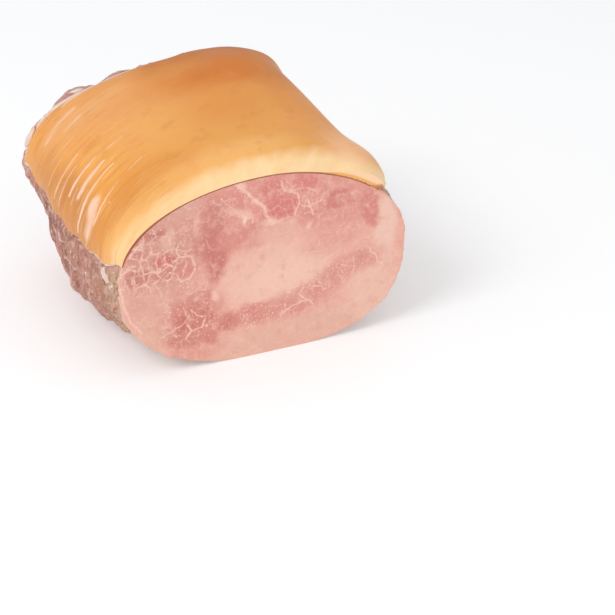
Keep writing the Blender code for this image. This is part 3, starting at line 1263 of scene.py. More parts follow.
@dataclass(frozen=True)
class OuterMeat:
    """The bare outer meat: mauve pink, browned and tan in places, with painted shade in its seams and
    crevices, and pale fibres.
    """

    base: Colour = tone(173, 111, 97)
    brown: Colour = tone(150, 98, 78)
    pale: Colour = tone(224, 182, 165)
    pink: Colour = tone(208, 150, 140)
    rosy_and_lit: Colour = tone(222, 158, 150)
    tan: Colour = tone(192, 149, 116)
    dark_and_shade: Colour = tone(104, 60, 52)
    fleck: Colour = tone(244, 220, 206)
    roughness: float = 0.5
    uneven_gloss: float = 0.4
    specular: float = 0.35
    relief: Point = (0.0022, 0.9)
    small_relief: float = 0.5
    fibre_relief: float = 0.6
    large: Grain = Grain(0.030, 4.0, 0.6)
    middle: Grain = Grain(0.009, 4.0, 0.65)
    small: Grain = Grain(0.0024, 3.0, 0.6)
    broad: Grain = Grain(0.075)
    fibre: Grain = Grain(1.0, 3.0, 0.6)
    fibre_push: Point = (0.02, 0.003)
    fibres_a_metre: tuple[float, float, float] = (150.0, 300.0, 80.0)
    seam_pushes: tuple[Point, ...] = ((0.05, 0.012), (0.009, 0.002))
    muscle: float = 0.034
    lump_push: Point = (0.004, 0.001)
    lump: float = 0.0048
    lump_seams: Point = (0.16, 0.02)
    lumps_broken: Grain = Grain(0.007)
    lump_steps: Point = (0.38, 0.58)
    crevice_shade_share: float = 0.75
    rear_waver: float = 0.06
    broad_waver: float = 0.15
    foot_waver: float = 0.02
    seam_steps: Point = (0.40, 0.60)
    front_steps: Point = (-0.040, -0.104)
    front_wavers: Point = (0.12, 0.04)
    torn_share: float = 0.85
    large_coats: Coats = (Coat(brown, (0.46, 0.70), 0.65), Coat(pink, (0.44, 0.28), 0.70))
    rear_rosy_and_lit: Coats = (Coat(rosy_and_lit, (0.070, 0.120), 0.70),)
    broad_coats: Coats = (Coat(tan, (0.52, 0.62), 0.45), Coat(brown, (0.46, 0.36), 0.40))
    middle_coats: Coats = (Coat(pale, (0.53, 0.72), 0.60), Coat(dark_and_shade, (0.47, 0.29), 0.65))
    fibre_coats: Coats = (Coat(pale, (0.55, 0.68), 0.60), Coat(brown, (0.45, 0.30), 0.50))
    foot_coats: Coats = (Coat(brown, (0.026, 0.010), 0.45),)
    seam_shade: Coats = (Coat(dark_and_shade, (0.12, 0.0), 0.35),)
    seam_fat: Coats = (Coat(pale, (0.05, 0.0), 0.85),)
    torn_pale: Coats = (Coat(pale, (0.45, 0.70), 0.70),)
    torn_pink: Coats = (Coat(pink, (0.54, 0.40), 0.60),)
    rim_coats: Coats = (Coat(fleck, (-0.1165, -0.1195), 0.45),)
    fleck_coats: Coats = (Coat(fleck, (0.59, 0.69), 0.70),)

    def build(self) -> Finish:
        """Makes the material.

        Returns:
            The material.
        """
        shades = Shades("outer_meat")
        where = shades.places()
        _, along_ham, up = shades.split(where)
        large = shades.grain(where, self.large)
        middle = shades.grain(where, self.middle)
        small = shades.grain(where, self.small)
        fibres = self.fibres(shades, where)
        lumps = self.lumps(shades, where)

        colour = shades.coated(self.base, large, self.large_coats)
        # Paler rosy pink towards the rear: partly the meat's own colour, partly painted light that lifts the
        # rear where it faces away from the lamps
        colour = shades.coated(colour, along_ham + large * self.rear_waver, self.rear_rosy_and_lit)
        uneven = shades.grain(where, self.broad) + (middle - MIDDLE) * self.broad_waver
        colour = shades.coated(colour, uneven, self.broad_coats)
        colour = shades.coated(colour, middle, self.middle_coats)
        colour = shades.coated(colour, fibres, self.fibre_coats)
        colour = shades.coated(colour, up + middle * self.foot_waver, self.foot_coats)

        # Painted shade along the seams between muscles, and pale fat on some of them
        seams = shades.cells(shades.warp(where, self.seam_pushes, True), self.muscle)
        colour = shades.coated(colour, seams, self.seam_shade)
        colour = shades.coated(colour, seams, self.seam_fat, middle.step(*self.seam_steps))
        front = along_ham + (large - MIDDLE) * self.front_wavers[0]
        front = (front + (middle - MIDDLE) * self.front_wavers[1]).step(*self.front_steps)
        torn = shades.coated(self.tan, middle, self.torn_pale)
        torn = shades.coated(torn, large, self.torn_pink)
        # Painted shade in the crevices between the torn lumps
        torn = shades.blend(torn, self.dark_and_shade, lumps * self.crevice_shade_share)
        colour = shades.blend(colour, torn, front * self.torn_share)
        colour = shades.coated(colour, along_ham, self.rim_coats)
        colour = shades.coated(colour, small, self.fleck_coats)

        height = middle + small * self.small_relief + fibres * self.fibre_relief
        rough = self.roughness + (small - MIDDLE) * self.uneven_gloss
        return shades.close(colour, shades.bump(height, *self.relief), rough, self.specular)

    def fibres(self, shades: Shades, where: object) -> Value:
        """Fibres that run up the flanks."""
        pushed = shades.warp(where, (self.fibre_push,), True)
        return shades.grain(shades.vector("MULTIPLY", pushed, self.fibres_a_metre), self.fibre)

    def lumps(self, shades: Shades, where: object) -> Value:
        """Painted shade in the crevices between small torn lumps.

        Args:
            shades: the nodes of the material.
            where: the places.

        Returns:
            The strength of the seams.
        """
        seams = shades.cells(shades.warp(where, (self.lump_push,), True), self.lump)
        broken = seams.step(*self.lump_seams)
        return broken * shades.grain(where, self.lumps_broken).step(*self.lump_steps)


@dataclass(frozen=True)
class Rind:
    """The golden glazed rind: cream with a painted highlight at the cut, orange-brown on top, with drawn
    streaks of painted shade, sheen and glint.
    """

    base: Colour = tone(231, 160, 76)
    cream_and_highlight: Colour = tone(252, 218, 168)
    deep: Colour = tone(196, 112, 34)
    glint: Colour = tone(245, 205, 180)
    scorch: Colour = tone(152, 80, 28)
    roughness: float = 0.42
    uneven_gloss: float = 0.3
    specular: float = 0.22
    relief: Point = (0.0006, 0.7)
    streak_relief: float = 1.2
    pore_relief: float = 0.25
    mottle_relief: float = 0.8
    loose_push: Point = (26.0, 9.0)
    fine_push: Point = (6.0, 1.2)
    mottle: Grain = Grain(22.0, 5.0, 0.62)
    band: Grain = Grain(14.0, 3.0)
    pores: Grain = Grain(1.6, 3.0, 0.6)
    streak: Grain = Grain(1.0, 3.0, 0.6)
    streak_size: Point = (24.0, 2.6)
    streak_tilt: float = -10.0
    band_depths: Point = (20.0, 5.0)
    band_least: float = 0.55
    band_more: float = 0.65
    band_left: Point = (215.0, 262.0)
    band_lost: float = 0.3
    glint_least: float = 0.45
    scorch_least: float = 0.3
    flank_from: Point = (228.0, 272.0)
    mottles: Coats = (Coat(tone(226, 150, 98), (0.50, 0.76), 0.40), Coat(deep, (0.47, 0.26), 0.30))
    fold_shade_and_sheen: Coats = (Coat(deep, (0.48, 0.28), 0.38), Coat(tone(246, 194, 124), (0.55, 0.72), 0.38))
    pore_coats: Coats = (Coat(deep, (0.42, 0.24), 0.28),)
    patches: tuple[Patch, ...] = (
        Patch((215, 120), (60, 44), (238, 172, 96), 0, 0.7, 0.8),
        Patch((250, 160), (44, 40), (234, 163, 96), 0, 0.7, 0.8),
        # This patch and the next two deepen the top to orange-brown towards the rear: partly the rind's own
        # colour, partly painted shade where the top slopes back away from the light
        Patch((150, 158), (74, 34), (212, 119, 28), -6, 0.6),
        Patch((165, 196), (74, 20), (188, 104, 22), 0, 0.5, 0.9),
        Patch((112, 140), (24, 44), (210, 124, 38), 0, 0.7, 0.8),
        Patch((196, 176), (30, 16), (212, 136, 62), 0, 0.7, 0.6),
        Patch((150, 184), (20, 10), (206, 130, 78), 0, 0.7, 0.6),
        Patch((292, 18), (22, 12), (246, 196, 128), 0, 0.7, 0.6),
        Patch((240, 40), (26, 14), (226, 150, 70), 20, 0.8, 0.5),
        Patch((270, 176), (22, 16), (232, 170, 112), 0, 0.7, 0.7),
        Patch((258, 190), (30, 9), (226, 156, 88), 0, 0.6, 0.7),
        Patch((102, 84), (24, 40), (230, 148, 66), 0, 0.6, 0.9),
        Patch((78, 24), (24, 28), (246, 186, 136), 0, 0.6),
        Patch((104, 52), (26, 22), (234, 160, 80), 0, 0.7, 0.7),
        Patch((175, 100), (44, 30), (224, 144, 60), 0, 0.7, 0.8),
        Patch((192, 24), (56, 16), (248, 188, 112), 0, 0.7, 0.7),
        Patch((304, 100), (15, 74), (200, 134, 74), 0, 0.6, 0.85),
        Patch((285, 40), (26, 17), (218, 144, 62), 0, 0.6, 0.9),
        Patch((258, 52), (20, 16), (226, 152, 72), 0, 0.7, 0.7),
        Patch((272, 22), (34, 10), (236, 174, 96), 0, 0.6, 0.7),
    )
    # Painted highlights: glints along the folds of the left flank, and one broad glare patch
    threads: tuple[Thread, ...] = (
        Thread(((305, 126), (296, 127), (282, 130)), 1.2, 0.6),
        Thread(((306, 121), (296, 122)), 0.9, 0.5),
        Thread(((306, 116), (299, 117), (286, 120)), 1.3, 0.75),
        Thread(((297, 105), (286, 107), (276, 110)), 2.0, 0.9),
        Thread(((300, 100), (292, 101)), 0.9, 0.5),
        Thread(((294, 93), (284, 95), (274, 98)), 3.4, 0.95),
        Thread(((290, 97), (280, 99)), 1.0, 0.6),
        Thread(((308, 78), (293, 81), (279, 84), (270, 87)), 1.7, 0.9),
        Thread(((300, 86), (288, 88)), 1.1, 0.6),
        Thread(((306, 73), (296, 75)), 1.0, 0.6),
        Thread(((297, 56), (285, 59), (272, 64)), 1.3, 0.85),
        Thread(((303, 61), (296, 62), (290, 70)), 9.5, 0.85, 0.6),
        Thread(((264, 68), (254, 72)), 1.0, 0.5),
        Thread(((268, 108), (258, 111)), 1.0, 0.5),
        Thread(((302, 140), (290, 142)), 1.0, 0.4),
        Thread(((294, 150), (280, 152)), 1.0, 0.4),
        Thread(((290, 176), (280, 181), (270, 184)), 3.4, 0.45, 0.7),
        Thread(((280, 168), (270, 171)), 2.2, 0.45),
        Thread(((272, 194), (258, 197)), 2.0, 0.6),
    )
    scorches: tuple[Thread, ...] = (
        Thread(((196, 206), (183, 208), (166, 208), (150, 204), (137, 200)), 5.0, 0.45, 1.0),
        Thread(((137, 198), (122, 199), (100, 203)), 6.0, 0.5, 1.0),
    )

    def build(self) -> Finish:
        """Makes the material, on the rind's own chart.

        Returns:
            The material.
        """
        shades = Shades("golden_rind")
        chart_uv = shades.node("ShaderNodeUVMap", {}, {}).outputs["UV"]
        flat = shades.vector("MULTIPLY", chart_uv, (MM, MM, 0.0))
        loose = shades.warp(flat, (self.loose_push,))
        fine = shades.warp(flat, (self.fine_push,))
        round_ham, depth, _ = shades.split(loose)

        mottle = shades.grain(flat, self.mottle)
        colour = self.base
        for patch in self.patches:
            colour = patch.paint(shades, colour, loose)
        colour = shades.coated(colour, mottle, self.mottles)
        # Pale band along the cut: the rind's cream edge and a painted highlight where it rolls over towards
        # the light, weaker on the left
        band = depth.step(*self.band_depths)
        band = band * (self.band_least + self.band_more * shades.grain(fine, self.band))
        band = band * (1.0 - self.band_lost * round_ham.step(*self.band_left))
        colour = shades.blend(colour, self.cream_and_highlight, band.least(1.0))

        flank = shades.split(flat)[0].step(*self.flank_from)
        stretched = shades.framed(fine, (0.0, 0.0), self.streak_size, self.streak_tilt)
        drawn = shades.grain(stretched, self.streak)
        # Painted shade in the hollows of the left flank's folds and painted sheen on their crests, from the
        # same pattern as their bump
        colour = shades.coated(colour, drawn, self.fold_shade_and_sheen, flank)
        # Painted highlights: pale glints laid along the threads, stronger where the folds stand up
        lines = drawn_lines(shades, self.threads, fine) * (self.glint_least + drawn)
        colour = shades.blend(colour, self.glint, lines.least(1.0))
        pores = shades.grain(flat, self.pores)
        colour = shades.coated(colour, pores, self.pore_coats)
        scorched = drawn_lines(shades, self.scorches, fine) * (self.scorch_least + pores)
        colour = shades.blend(colour, self.scorch, scorched.least(1.0))

        height = drawn * flank * self.streak_relief + pores * self.pore_relief
        height = height + mottle * self.mottle_relief
        rough = self.roughness + (mottle - MIDDLE) * self.uneven_gloss
        return shades.close(colour, shades.bump(height, *self.relief), rough, self.specular)


@dataclass(frozen=True)
class RindSection:
    """The rind's own thickness where it is cut: a thin browned line, amber in the thick lobe."""

    line: Colour = tone(160, 98, 66)
    scorched: Colour = tone(164, 82, 50)
    amber: Colour = tone(240, 172, 88)
    peach: Colour = tone(250, 208, 168)
    tip: Colour = tone(168, 100, 56)
    roughness: float = 0.45
    relief: Point = (0.0006, 0.6)
    grain: Grain = Grain(0.0025, 3.0)
    roll: Coats = (Coat(peach, (1.026, 1.050), 1.0), Coat(line, (1.010, 1.003), 1.0))
    left: Point = (-0.060, -0.090)
    lobe: Point = (0.038, 0.056)
    low: Point = (0.0400, 0.0365)
    outer: Point = (0.079, 0.084)
    roll_waver: float = 0.02
    lobe_waver: float = 0.008
    low_waver: float = 0.004
    outer_waver: float = 0.003
    tip_share: float = 0.8
    least_share: float = 0.001

    def build(self, form: HamForm) -> Finish:
        """Makes the material.

        Args:
            form: the ham, whose outline at the cut the line follows.

        Returns:
            The material.
        """
        shades = Shades("rind_section")
        cut = form.cut
        where = shades.places()
        x, _, z = shades.split(where)
        across = x - (cut.centre_x - form.middle_x)
        up = z - cut.centre_z
        sideways = (across / cut.right).most(self.least_share) ** cut.upper_right
        upward = (up / cut.top).most(self.least_share) ** cut.upper_right
        beyond = (sideways + upward) ** (1 / cut.upper_right)
        grain = shades.grain(where, self.grain)
        uneven = beyond + (grain - MIDDLE) * self.roll_waver
        lobe = (across + grain * self.lobe_waver).step(*self.lobe)
        colour = shades.blend(self.line, self.scorched, across.step(*self.left))
        roll = shades.coated(self.amber, uneven, self.roll)
        low = (up - grain * self.low_waver).step(*self.low)
        outer = (across + grain * self.outer_waver).step(*self.outer)
        roll = shades.blend(roll, self.tip, outer * low * self.tip_share)
        colour = shades.blend(colour, roll, lobe)
        return shades.close(colour, shades.bump(grain, *self.relief), self.roughness)


@dataclass(frozen=True)
class Fat:
    """Pale cooked fat, creamy with pink and tan stains."""

    base: Colour = tone(226, 208, 197)
    roughness: float = 0.4
    relief: Point = (0.001, 0.7)
    small_relief: float = 0.5
    large: Grain = Grain(0.009, 3.0)
    small: Grain = Grain(0.0016, 3.0)
    pink: Coats = (Coat(tone(220, 168, 152), (0.45, 0.70), 0.70),)
    stains: Coats = (Coat(tone(196, 150, 118), (0.55, 0.75), 0.50),)

    def build(self) -> Finish:
        """Makes the material.

        Returns:
            The material.
        """
        shades = Shades("pale_fat")
        where = shades.places()
        large = shades.grain(where, self.large)
        small = shades.grain(where, self.small)
        colour = shades.coated(self.base, large, self.pink)
        colour = shades.coated(colour, small, self.stains)
        height = large + small * self.small_relief
        return shades.close(colour, shades.bump(height, *self.relief), self.roughness)


# Pieces


@dataclass
class Meat:
    """The ham's meat: a closed body with a flat marbled cut, craggy outside."""

    form: HamForm
    rind: RindForm
    outside: Finish
    turn_steps: int = 400
    face_rings: int = 26
    flank_rings: int = 118
    rear_rings: int = 26
    cap_rings: int = 16
    rounding: float = 0.0006
    heart: Point = (0.010, 0.066)
    face_share: float = 0.993
    seam_turn: float = 270.0
    seam: float = 1e-5
    turn_digits: int = 5
    facing: float = -0.5
    pit_depth: float = 0.0011
    pit_scale: float = 0.0068

    def build(self) -> Piece:
        """Models and dresses the meat.

        Returns:
            The finished piece.
        """
        piece = sheet("ham_meat", self.turn_steps, self.rows())
        across, down = places(piece)
        turn = math.radians(self.seam_turn) - 2 * math.pi * across
        lay(piece, self.wrapped(turn, np.rint(down * self.rows()).astype(int)))
        merge(piece, self.seam)
        self.dress(piece)
        smooth(piece)
        enlist(piece)
        return piece

    def rows(self) -> int:
        """How many rows of quads run from the middle of the cut to the middle of the rear."""
        return self.face_rings + self.flank_rings + self.rear_rings + self.cap_rings

    def wrapped(self, turn: Array, row: Array) -> Array:
        """Where the points of the sheet go when it is wrapped round the ham.

        Args:
            turn: each point's turn, in radians.
            row: each point's row, 0 in the middle of the cut.

        Returns:
            One row (x, y, z) a point.
        """
        form = self.form
        start_rear = self.face_rings + self.flank_rings
        start_cap = start_rear + self.rear_rings
        flank = np.clip((row - self.face_rings) / self.flank_rings, 0, 1)
        swing = np.clip((row - start_rear) / self.rear_rings, 0, 1)
        depth = flank * (form.length - form.rear_round)
        depth = depth + form.rear_round * np.sin(math.pi / 2 * swing) ** (2 / form.rear_power)
        depth = np.clip(depth, self.rounding, form.length)

        smooth_skin = form.skin(turn, depth)
        bare = self.rind.bareness(turn, depth)
        relief = form.crag(smooth_skin) + self.pits(smooth_skin)
        rise = bare * relief - (1 - bare) * self.rind.bed_depth * self.rind.behind_cut(depth)
        points = self.rind.laid(turn, depth, rise)

        cap = np.clip((row - start_cap) / self.cap_rings, 0, 1)
        rim = form.skin(turn, np.full(len(turn), form.length))
        middle = rim[row == row.max()].mean(axis=0)
        inner = middle + (rim - middle) * (1 - cap)[:, None]
        on_cap = row > start_cap
        inner[:, 1] += form.rear_dome * (1 - (1 - cap) ** 2)
        inner[:, 1] += np.where(on_cap, form.crag(inner) + self.pits(inner), 0.0)
        points = np.where(on_cap[:, None], inner, points)

        face = row < self.face_rings
        share = np.clip(row / (self.face_rings - 1), 0, 1)
        turns = [round(float(t), self.turn_digits) for t in turn]
        rim_turns = [turns[index] for index in np.flatnonzero(row == self.face_rings)]
        order = {value: index for index, value in enumerate(rim_turns)}
        edge = points[row == self.face_rings]
        own = edge[[order[turns[index]] for index in np.flatnonzero(face)]]
        heart = np.array([self.heart[0] - form.middle_x, -form.middle_y, self.heart[1]])
        drawn = heart + (own - heart) * (share[face] * self.face_share)[:, None]
        drawn[:, 1] = -form.middle_y
        points[face] = drawn
        points[:, 2] = np.maximum(points[:, 2], 0.0)
        return points

    def pits(self, points: Array) -> Array:
        """Fine torn relief over the crags, faded at the resting plane."""
        rough = fractal(points / self.pit_scale, FINE)
        return self.pit_depth * rough * ease(points[:, 2] / self.form.crag_fade_z)

    def dress(self, piece: Piece) -> None:
        """Gives the outside and the cut their finishes.

        Args:
            piece: the meat.
        """
        piece.data.materials.append(self.outside)
        piece.data.materials.append(CutFace().build(self.form))
        count = len(piece.data.polygons)
        normals = np.empty(count * 3)
        centres = np.empty(count * 3)
        piece.data.polygons.foreach_get("normal", normals)
        piece.data.polygons.foreach_get("center", centres)
        facing = normals.reshape(-1, 3)[:, 1] < self.facing
        at_cut = centres.reshape(-1, 3)[:, 1] < -self.form.middle_y + 2 * self.rounding
        piece.data.polygons.foreach_set("material_index", (facing & at_cut).astype(np.int32))


@dataclass
class RindSheet:
    """The rind: a sheet laid over the ham, given its wall, with rounded rims."""

    form: HamForm
    rind: RindForm
    columns: int = 214
    rows: int = 200
    lead: float = 0.007
    past_cut: float = 0.0002
    rim_round: float = 0.0006
    ragged_side: float = 0.04
    ragged_rear: float = 0.10
    facing: float = -0.99
    in_plane: float = 1e-5

    def build(self) -> Piece:
        """Models and dresses the rind.

        Returns:
            The finished piece.
        """
        piece = sheet("ham_rind", self.columns, self.rows)
        across, down = places(piece)
        depth = (self.rind.rear(across) + self.lead) * down - self.lead
        ragged = self.rind.ragged * fractal(self.rind.flat(across, down) / self.rind.ragged_scale, COARSE)
        depth = depth + ragged * ease((down - (1 - self.ragged_rear)) / self.ragged_rear)
        left, right = self.rind.edges(np.maximum(depth, 0.0))
        at_left = ease((self.ragged_side - across) / self.ragged_side)
        at_right = ease((across - (1 - self.ragged_side)) / self.ragged_side)
        turn = left + (right - left) * across + ragged / self.form.mean_reach * (at_left - at_right)
        lift = self.rind.lift(turn, depth, across)
        lay(piece, self.rind.laid(turn, depth, lift))
        chart(piece, turn * self.form.mean_reach, depth)
        self.thicken(piece, lift, depth)
        self.slice(piece)
        smooth(piece)
        enlist(piece)
        return piece

    def thicken(self, piece: Piece, lift: Array, depth: Array) -> None:
        """Gives the sheet its wall, down into the meat, and rounds its rims.

        Args:
            piece: the sheet.
            lift: how far each point stands off the smooth body.
            depth: each point's depth behind the cut.
        """
        at_cut = self.rind.tuck_at_cut
        wall = lift + at_cut + (self.rind.tuck - at_cut) * self.rind.behind_cut(depth)
        most = float(wall.max())
        group = piece.vertex_groups.new(name="wall")
        for index, thickness in enumerate(wall):
            group.add([index], float(thickness) / most, "REPLACE")
        piece.data.materials.append(Rind().build())
        piece.data.materials.append(RindSection().build(self.form))
        give_wall(piece, most, self.rim_round, group.name)

    def slice(self, piece: Piece) -> None:
        """Slices the rind flat a hair in front of the meat's cut, and gives the slice its finish.

        Args:
            piece: the sheet.
        """
        plane = -self.form.middle_y - self.past_cut
        edit_all(piece)
        bpy.ops.mesh.bisect(plane_co=(0, plane, 0), plane_no=(0, -1, 0), use_fill=True, clear_outer=True)
        bpy.ops.object.mode_set(mode="OBJECT")
        for face in piece.data.polygons:
            if face.normal.y < self.facing and abs(face.center.y - plane) < self.in_plane:
                face.material_index = 1


@dataclass
class FatSheet:
    """The fat under the rind, which shows as a pale uneven line beyond its edges."""

    form: HamForm
    rind: RindForm
    fat: Finish
    columns: int = 150
    rows: int = 170
    crowding: float = 0.72
    start: float = 0.004
    above: float = 0.0007
    wall: float = 0.0030
    rim_round: float = 0.0005
    uneven: float = 0.8
    ragged_scale: float = 0.007
    lump_scale: float = 0.004
    lump_shift: float = 5.0
    left_margin: tuple[float, ...] = (0.0002, 0.0010, 0.0004, 0.0003, 0.0005, 0.0007, 0.0014, 0.0030)
    right_margin: tuple[float, ...] = (0.0008, 0.0012, 0.0006, 0.0010, 0.0008, 0.0020)
    rear_margin: tuple[float, ...] = (0.0050, 0.0040, 0.0024, 0.0016, 0.0026, 0.0018, 0.0030)

    def build(self) -> Piece:
        """Models and dresses the fat.

        Returns:
            The finished piece.
        """
        piece = sheet("ham_fat", self.columns, self.rows)
        across, down = places(piece)
        swing = math.pi / 2 * self.crowding
        across = 0.5 + 0.5 * np.sin((2 * across - 1) * swing) / math.sin(swing)
        place = self.rind.flat(across, down)
        ragged = 1 + self.uneven * fractal(place / self.ragged_scale, FINE)
        reach = self.rind.rear(across) + along(self.rear_margin, across) * ragged
        depth = self.start + (reach - self.start) * down
        left, right = self.rind.edges(np.minimum(depth, self.rind.rear(across)))
        share = depth / self.form.length
        left = left + along(self.left_margin, share) * ragged / self.form.mean_reach
        right = right - along(self.right_margin, share) * ragged / self.form.mean_reach
        turn = left + (right - left) * across
        lumps = fractal(place / self.lump_scale + self.lump_shift, COARSE)
        lift = self.above * (1 + self.uneven * lumps)
        lay(piece, self.rind.laid(turn, depth, lift))
        piece.data.materials.append(self.fat)
        give_wall(piece, self.wall, self.rim_round)
        smooth(piece)
        enlist(piece)
        return piece


@dataclass(frozen=True)
class Scrap:
    """A torn scrap on the meat: where it lies, and its half sizes round, along and out."""

    turn: float
    depth: float
    size: tuple[float, float, float]
    lean: float
    stuff: Stuff


@dataclass
class Scraps:
    """Torn bits of fat and meat, partly sunk in the flanks."""

    form: HamForm
    rind: RindForm
    finishes: dict[Stuff, Finish]
    fineness: int = 4
    dent: float = 0.20
    dent_scale: float = 0.75
    shift_a_metre: float = 100.0
    sunk: float = 0.25
    crisp: float = 60.0
    scraps: tuple[Scrap, ...] = (
        Scrap(181.4, 0.028, (0.0056, 0.0090, 0.0018), 8, Stuff.FAT),
        Scrap(184.8, 0.021, (0.0013, 0.0042, 0.0009), -20, Stuff.FAT),
        Scrap(182.2, 0.013, (0.0012, 0.0036, 0.0009), 30, Stuff.FAT),
        Scrap(189.0, 0.011, (0.0040, 0.0030, 0.0022), 10, Stuff.MEAT),
        Scrap(193.0, 0.019, (0.0050, 0.0036, 0.0024), -15, Stuff.MEAT),
        Scrap(198.0, 0.009, (0.0048, 0.0030, 0.0020), 20, Stuff.MEAT),
        Scrap(203.0, 0.016, (0.0055, 0.0034, 0.0022), 0, Stuff.MEAT),
        Scrap(187.0, 0.040, (0.0046, 0.0034, 0.0018), 35, Stuff.MEAT),
        Scrap(181.0, 0.196, (0.0060, 0.0080, 0.0024), 20, Stuff.MEAT),
        Scrap(168.0, 0.205, (0.0090, 0.0040, 0.0022), -8, Stuff.FAT),
        Scrap(158.0, 0.203, (0.0070, 0.0036, 0.0020), 14, Stuff.MEAT),
        Scrap(150.0, 0.206, (0.0060, 0.0030, 0.0018), -20, Stuff.FAT),
        Scrap(-4.0, 0.034, (0.0026, 0.0110, 0.0014), 25, Stuff.MEAT),
        Scrap(6.0, 0.130, (0.0024, 0.0090, 0.0014), -30, Stuff.MEAT),
        Scrap(-14.0, 0.176, (0.0024, 0.0070, 0.0013), 40, Stuff.MEAT),
    )

    def build(self) -> Piece:
        """Models and dresses the scraps.

        Returns:
            The finished piece.
        """
        lumps = [self.lump(scrap) for scrap in self.scraps]
        deselect_all()
        for lump in lumps:
            lump.select_set(True)
        bpy.context.view_layer.objects.active = lumps[0]
        bpy.ops.object.join()
        piece = bpy.context.object
        piece.name = "ham_scraps"
        piece.data.name = "ham_scraps"
        smooth(piece, self.crisp)
        enlist(piece)
        return piece

    def lump(self, scrap: Scrap) -> Piece:
        """Models one scrap where it lies.

        Args:
            scrap: the scrap.

        Returns:
            The scrap, ready to be joined to the others.
        """
        deselect_all()
        bpy.ops.mesh.primitive_ico_sphere_add(subdivisions=self.fineness, radius=1.0)
        piece = bpy.context.object
        round_points = np.array([vertex.co[:] for vertex in piece.data.vertices])
        shift = np.array([scrap.turn, scrap.depth * self.shift_a_metre, 0.0])
        dented = 1 + self.dent * fractal(round_points / self.dent_scale + shift, FINE)
        lean = math.radians(scrap.lean)
        cosine, sine = math.cos(lean), math.sin(lean)
        spun = np.array([[cosine, sine, 0], [-sine, cosine, 0], [0, 0, 1]])
        local = (round_points * dented[:, None] * np.array(scrap.size)) @ spun

        turn, depth = np.array([math.radians(scrap.turn)]), np.array([scrap.depth])
        ground = self.form.skin(turn, depth)
        out = self.form.outward(turn, depth)[0]
        bare = self.rind.bareness(turn, depth)
        base = ground[0] + out * (bare[0] * self.form.crag(ground)[0] - self.sunk * scrap.size[2])
        lengthwise = np.array([0.0, 1.0, 0.0]) - out * out[1]
        lengthwise /= np.linalg.norm(lengthwise)
        around = np.cross(lengthwise, out)
        points = base + local[:, :1] * around + local[:, 1:2] * lengthwise + local[:, 2:] * out
        points[:, 2] = np.maximum(points[:, 2], 0.0)
        lay(piece, points)
        piece.data.materials.append(self.finishes[scrap.stuff])
        return piece


# Studio


@dataclass(frozen=True)
class Floor:
    """A plain pale floor."""

    colour: Colour = tone(234, 235, 237)
    glow: float = 0.215
    roughness: float = 0.7
    specular: float = 0.2
    size: float = 8.0

    def build(self) -> Piece:
        """Models and dresses the floor.

        Returns:
            The floor.
        """
        deselect_all()
        bpy.ops.mesh.primitive_plane_add(size=self.size, location=(0.0, 0.0, 0.0))
        piece = bpy.context.object
        piece.name = "floor"
        shades = Shades("studio_floor")
        constants = {
            "Base Color": self.colour,
            "Roughness": self.roughness,
            "Specular IOR Level": self.specular,
            "Emission Color": WHITE,
            "Emission Strength": self.glow,
        }
        for name, constant in constants.items():
            shades.feed(shades.shader.inputs[name], constant)
        piece.data.materials.append(shades.material)
        return piece


@dataclass(frozen=True)
class Lamp:
    """A soft square lamp, placed by where it looks from."""

    name: str
    turn: float
    climb: float
    distance: float
    size: float
    power: float
    colour: tuple[float, float, float] = WHITE[:3]

    def build(self, target: Vector) -> Piece:
        """Hangs the lamp, facing a target.

        Args:
            target: the place that it lights.

        Returns:
            The lamp.
        """
        away = direction(self.turn, self.climb)
        data = bpy.data.lights.new(self.name, "AREA")
        data.size = self.size
        data.energy = self.power
        data.color = self.colour
        lamp = bpy.data.objects.new(self.name, data)
        bpy.context.scene.collection.objects.link(lamp)
        lamp.matrix_world = looking(target + away * self.distance, away)
        return lamp


def direction(turn: float, climb: float) -> Vector:
    """The direction from the ham to a place that is a turn round and a climb up, in degrees.

    Args:
        turn: degrees round from the front, to the right as seen from there.
        climb: degrees above the floor.

    Returns:
        The direction, one unit long.
    """
    level = math.cos(math.radians(climb))
    across = math.sin(math.radians(turn)) * level
    ahead = -math.cos(math.radians(turn)) * level
    return Vector((across, ahead, math.sin(math.radians(climb))))


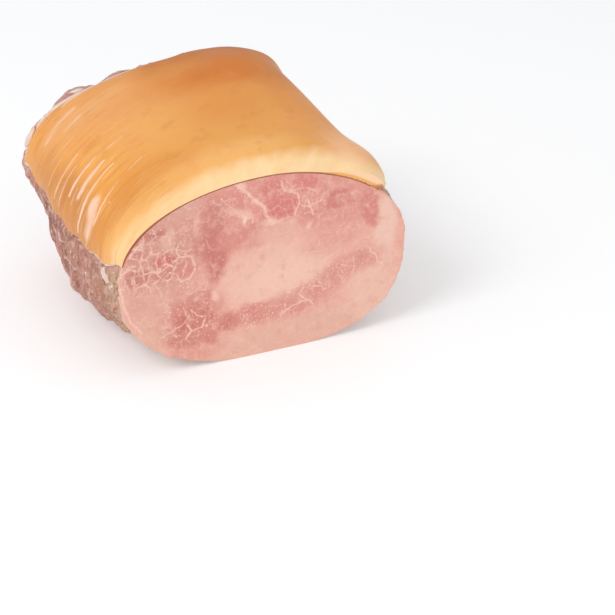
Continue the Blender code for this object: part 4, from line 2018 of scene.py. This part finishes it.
def looking(place: Vector, away: Vector) -> Matrix:
    """A matrix for something at a place that looks against a direction."""
    return Matrix.Translation(place) @ away.to_track_quat("Z", "Y").to_matrix().to_4x4()


@dataclass(frozen=True)
class Studio:
    """Camera, lamps and world."""

    target: tuple[float, float, float] = (0.03536, -0.11965, 0.02881)
    distance: float = 1.312
    turn: float = -25.0
    climb: float = 27.5
    focal_pixels: float = 1800.0
    frame_pixels: float = 615.0
    sensor: float = 36.0
    far_clip: float = 50.0
    world_light: float = 0.71
    lit: tuple[float, float, float] = (0.0, 0.0, 0.05)
    lamps: tuple[Lamp, ...] = (
        Lamp("key", -66.0, 43.0, 3.0, 1.3, 34.0, (1.0, 0.99, 0.97)),
        Lamp("front", -8.0, 32.0, 3.0, 2.0, 6.5),
    )

    def build(self) -> None:
        """Sets up the view, the lamps and the world."""
        scene = bpy.context.scene
        scene.view_settings.view_transform = "Standard"
        scene.view_settings.look = "None"
        away = direction(self.turn, self.climb)
        data = bpy.data.cameras.new("camera")
        data.sensor_width = self.sensor
        data.lens = self.focal_pixels / self.frame_pixels * self.sensor
        data.clip_end = self.far_clip
        camera = bpy.data.objects.new("camera", data)
        scene.collection.objects.link(camera)
        camera.matrix_world = looking(Vector(self.target) + away * self.distance, away)
        scene.camera = camera
        for lamp in self.lamps:
            lamp.build(Vector(self.lit))
        world = bpy.data.worlds.new("studio")
        world.use_nodes = True
        backdrop = world.node_tree.nodes["Background"]
        backdrop.inputs["Color"].default_value = WHITE
        backdrop.inputs["Strength"].default_value = self.world_light
        scene.world = world


def main() -> None:
    """Builds the studio and the ham, piece by piece."""
    logging.basicConfig(level=logging.INFO, format="%(name)s: %(message)s")
    Studio().build()
    Floor().build()
    form = HamForm()
    rind = RindForm(form)
    finishes = {Stuff.MEAT: OuterMeat().build(), Stuff.FAT: Fat().build()}
    makers = (
        Meat(form, rind, finishes[Stuff.MEAT]),
        FatSheet(form, rind, finishes[Stuff.FAT]),
        RindSheet(form, rind),
        Scraps(form, rind, finishes),
    )
    for maker in makers:
        piece = maker.build()
        LOG.info("%s: %d faces", piece.name, len(piece.data.polygons))


if __name__ == "__main__":
    main()
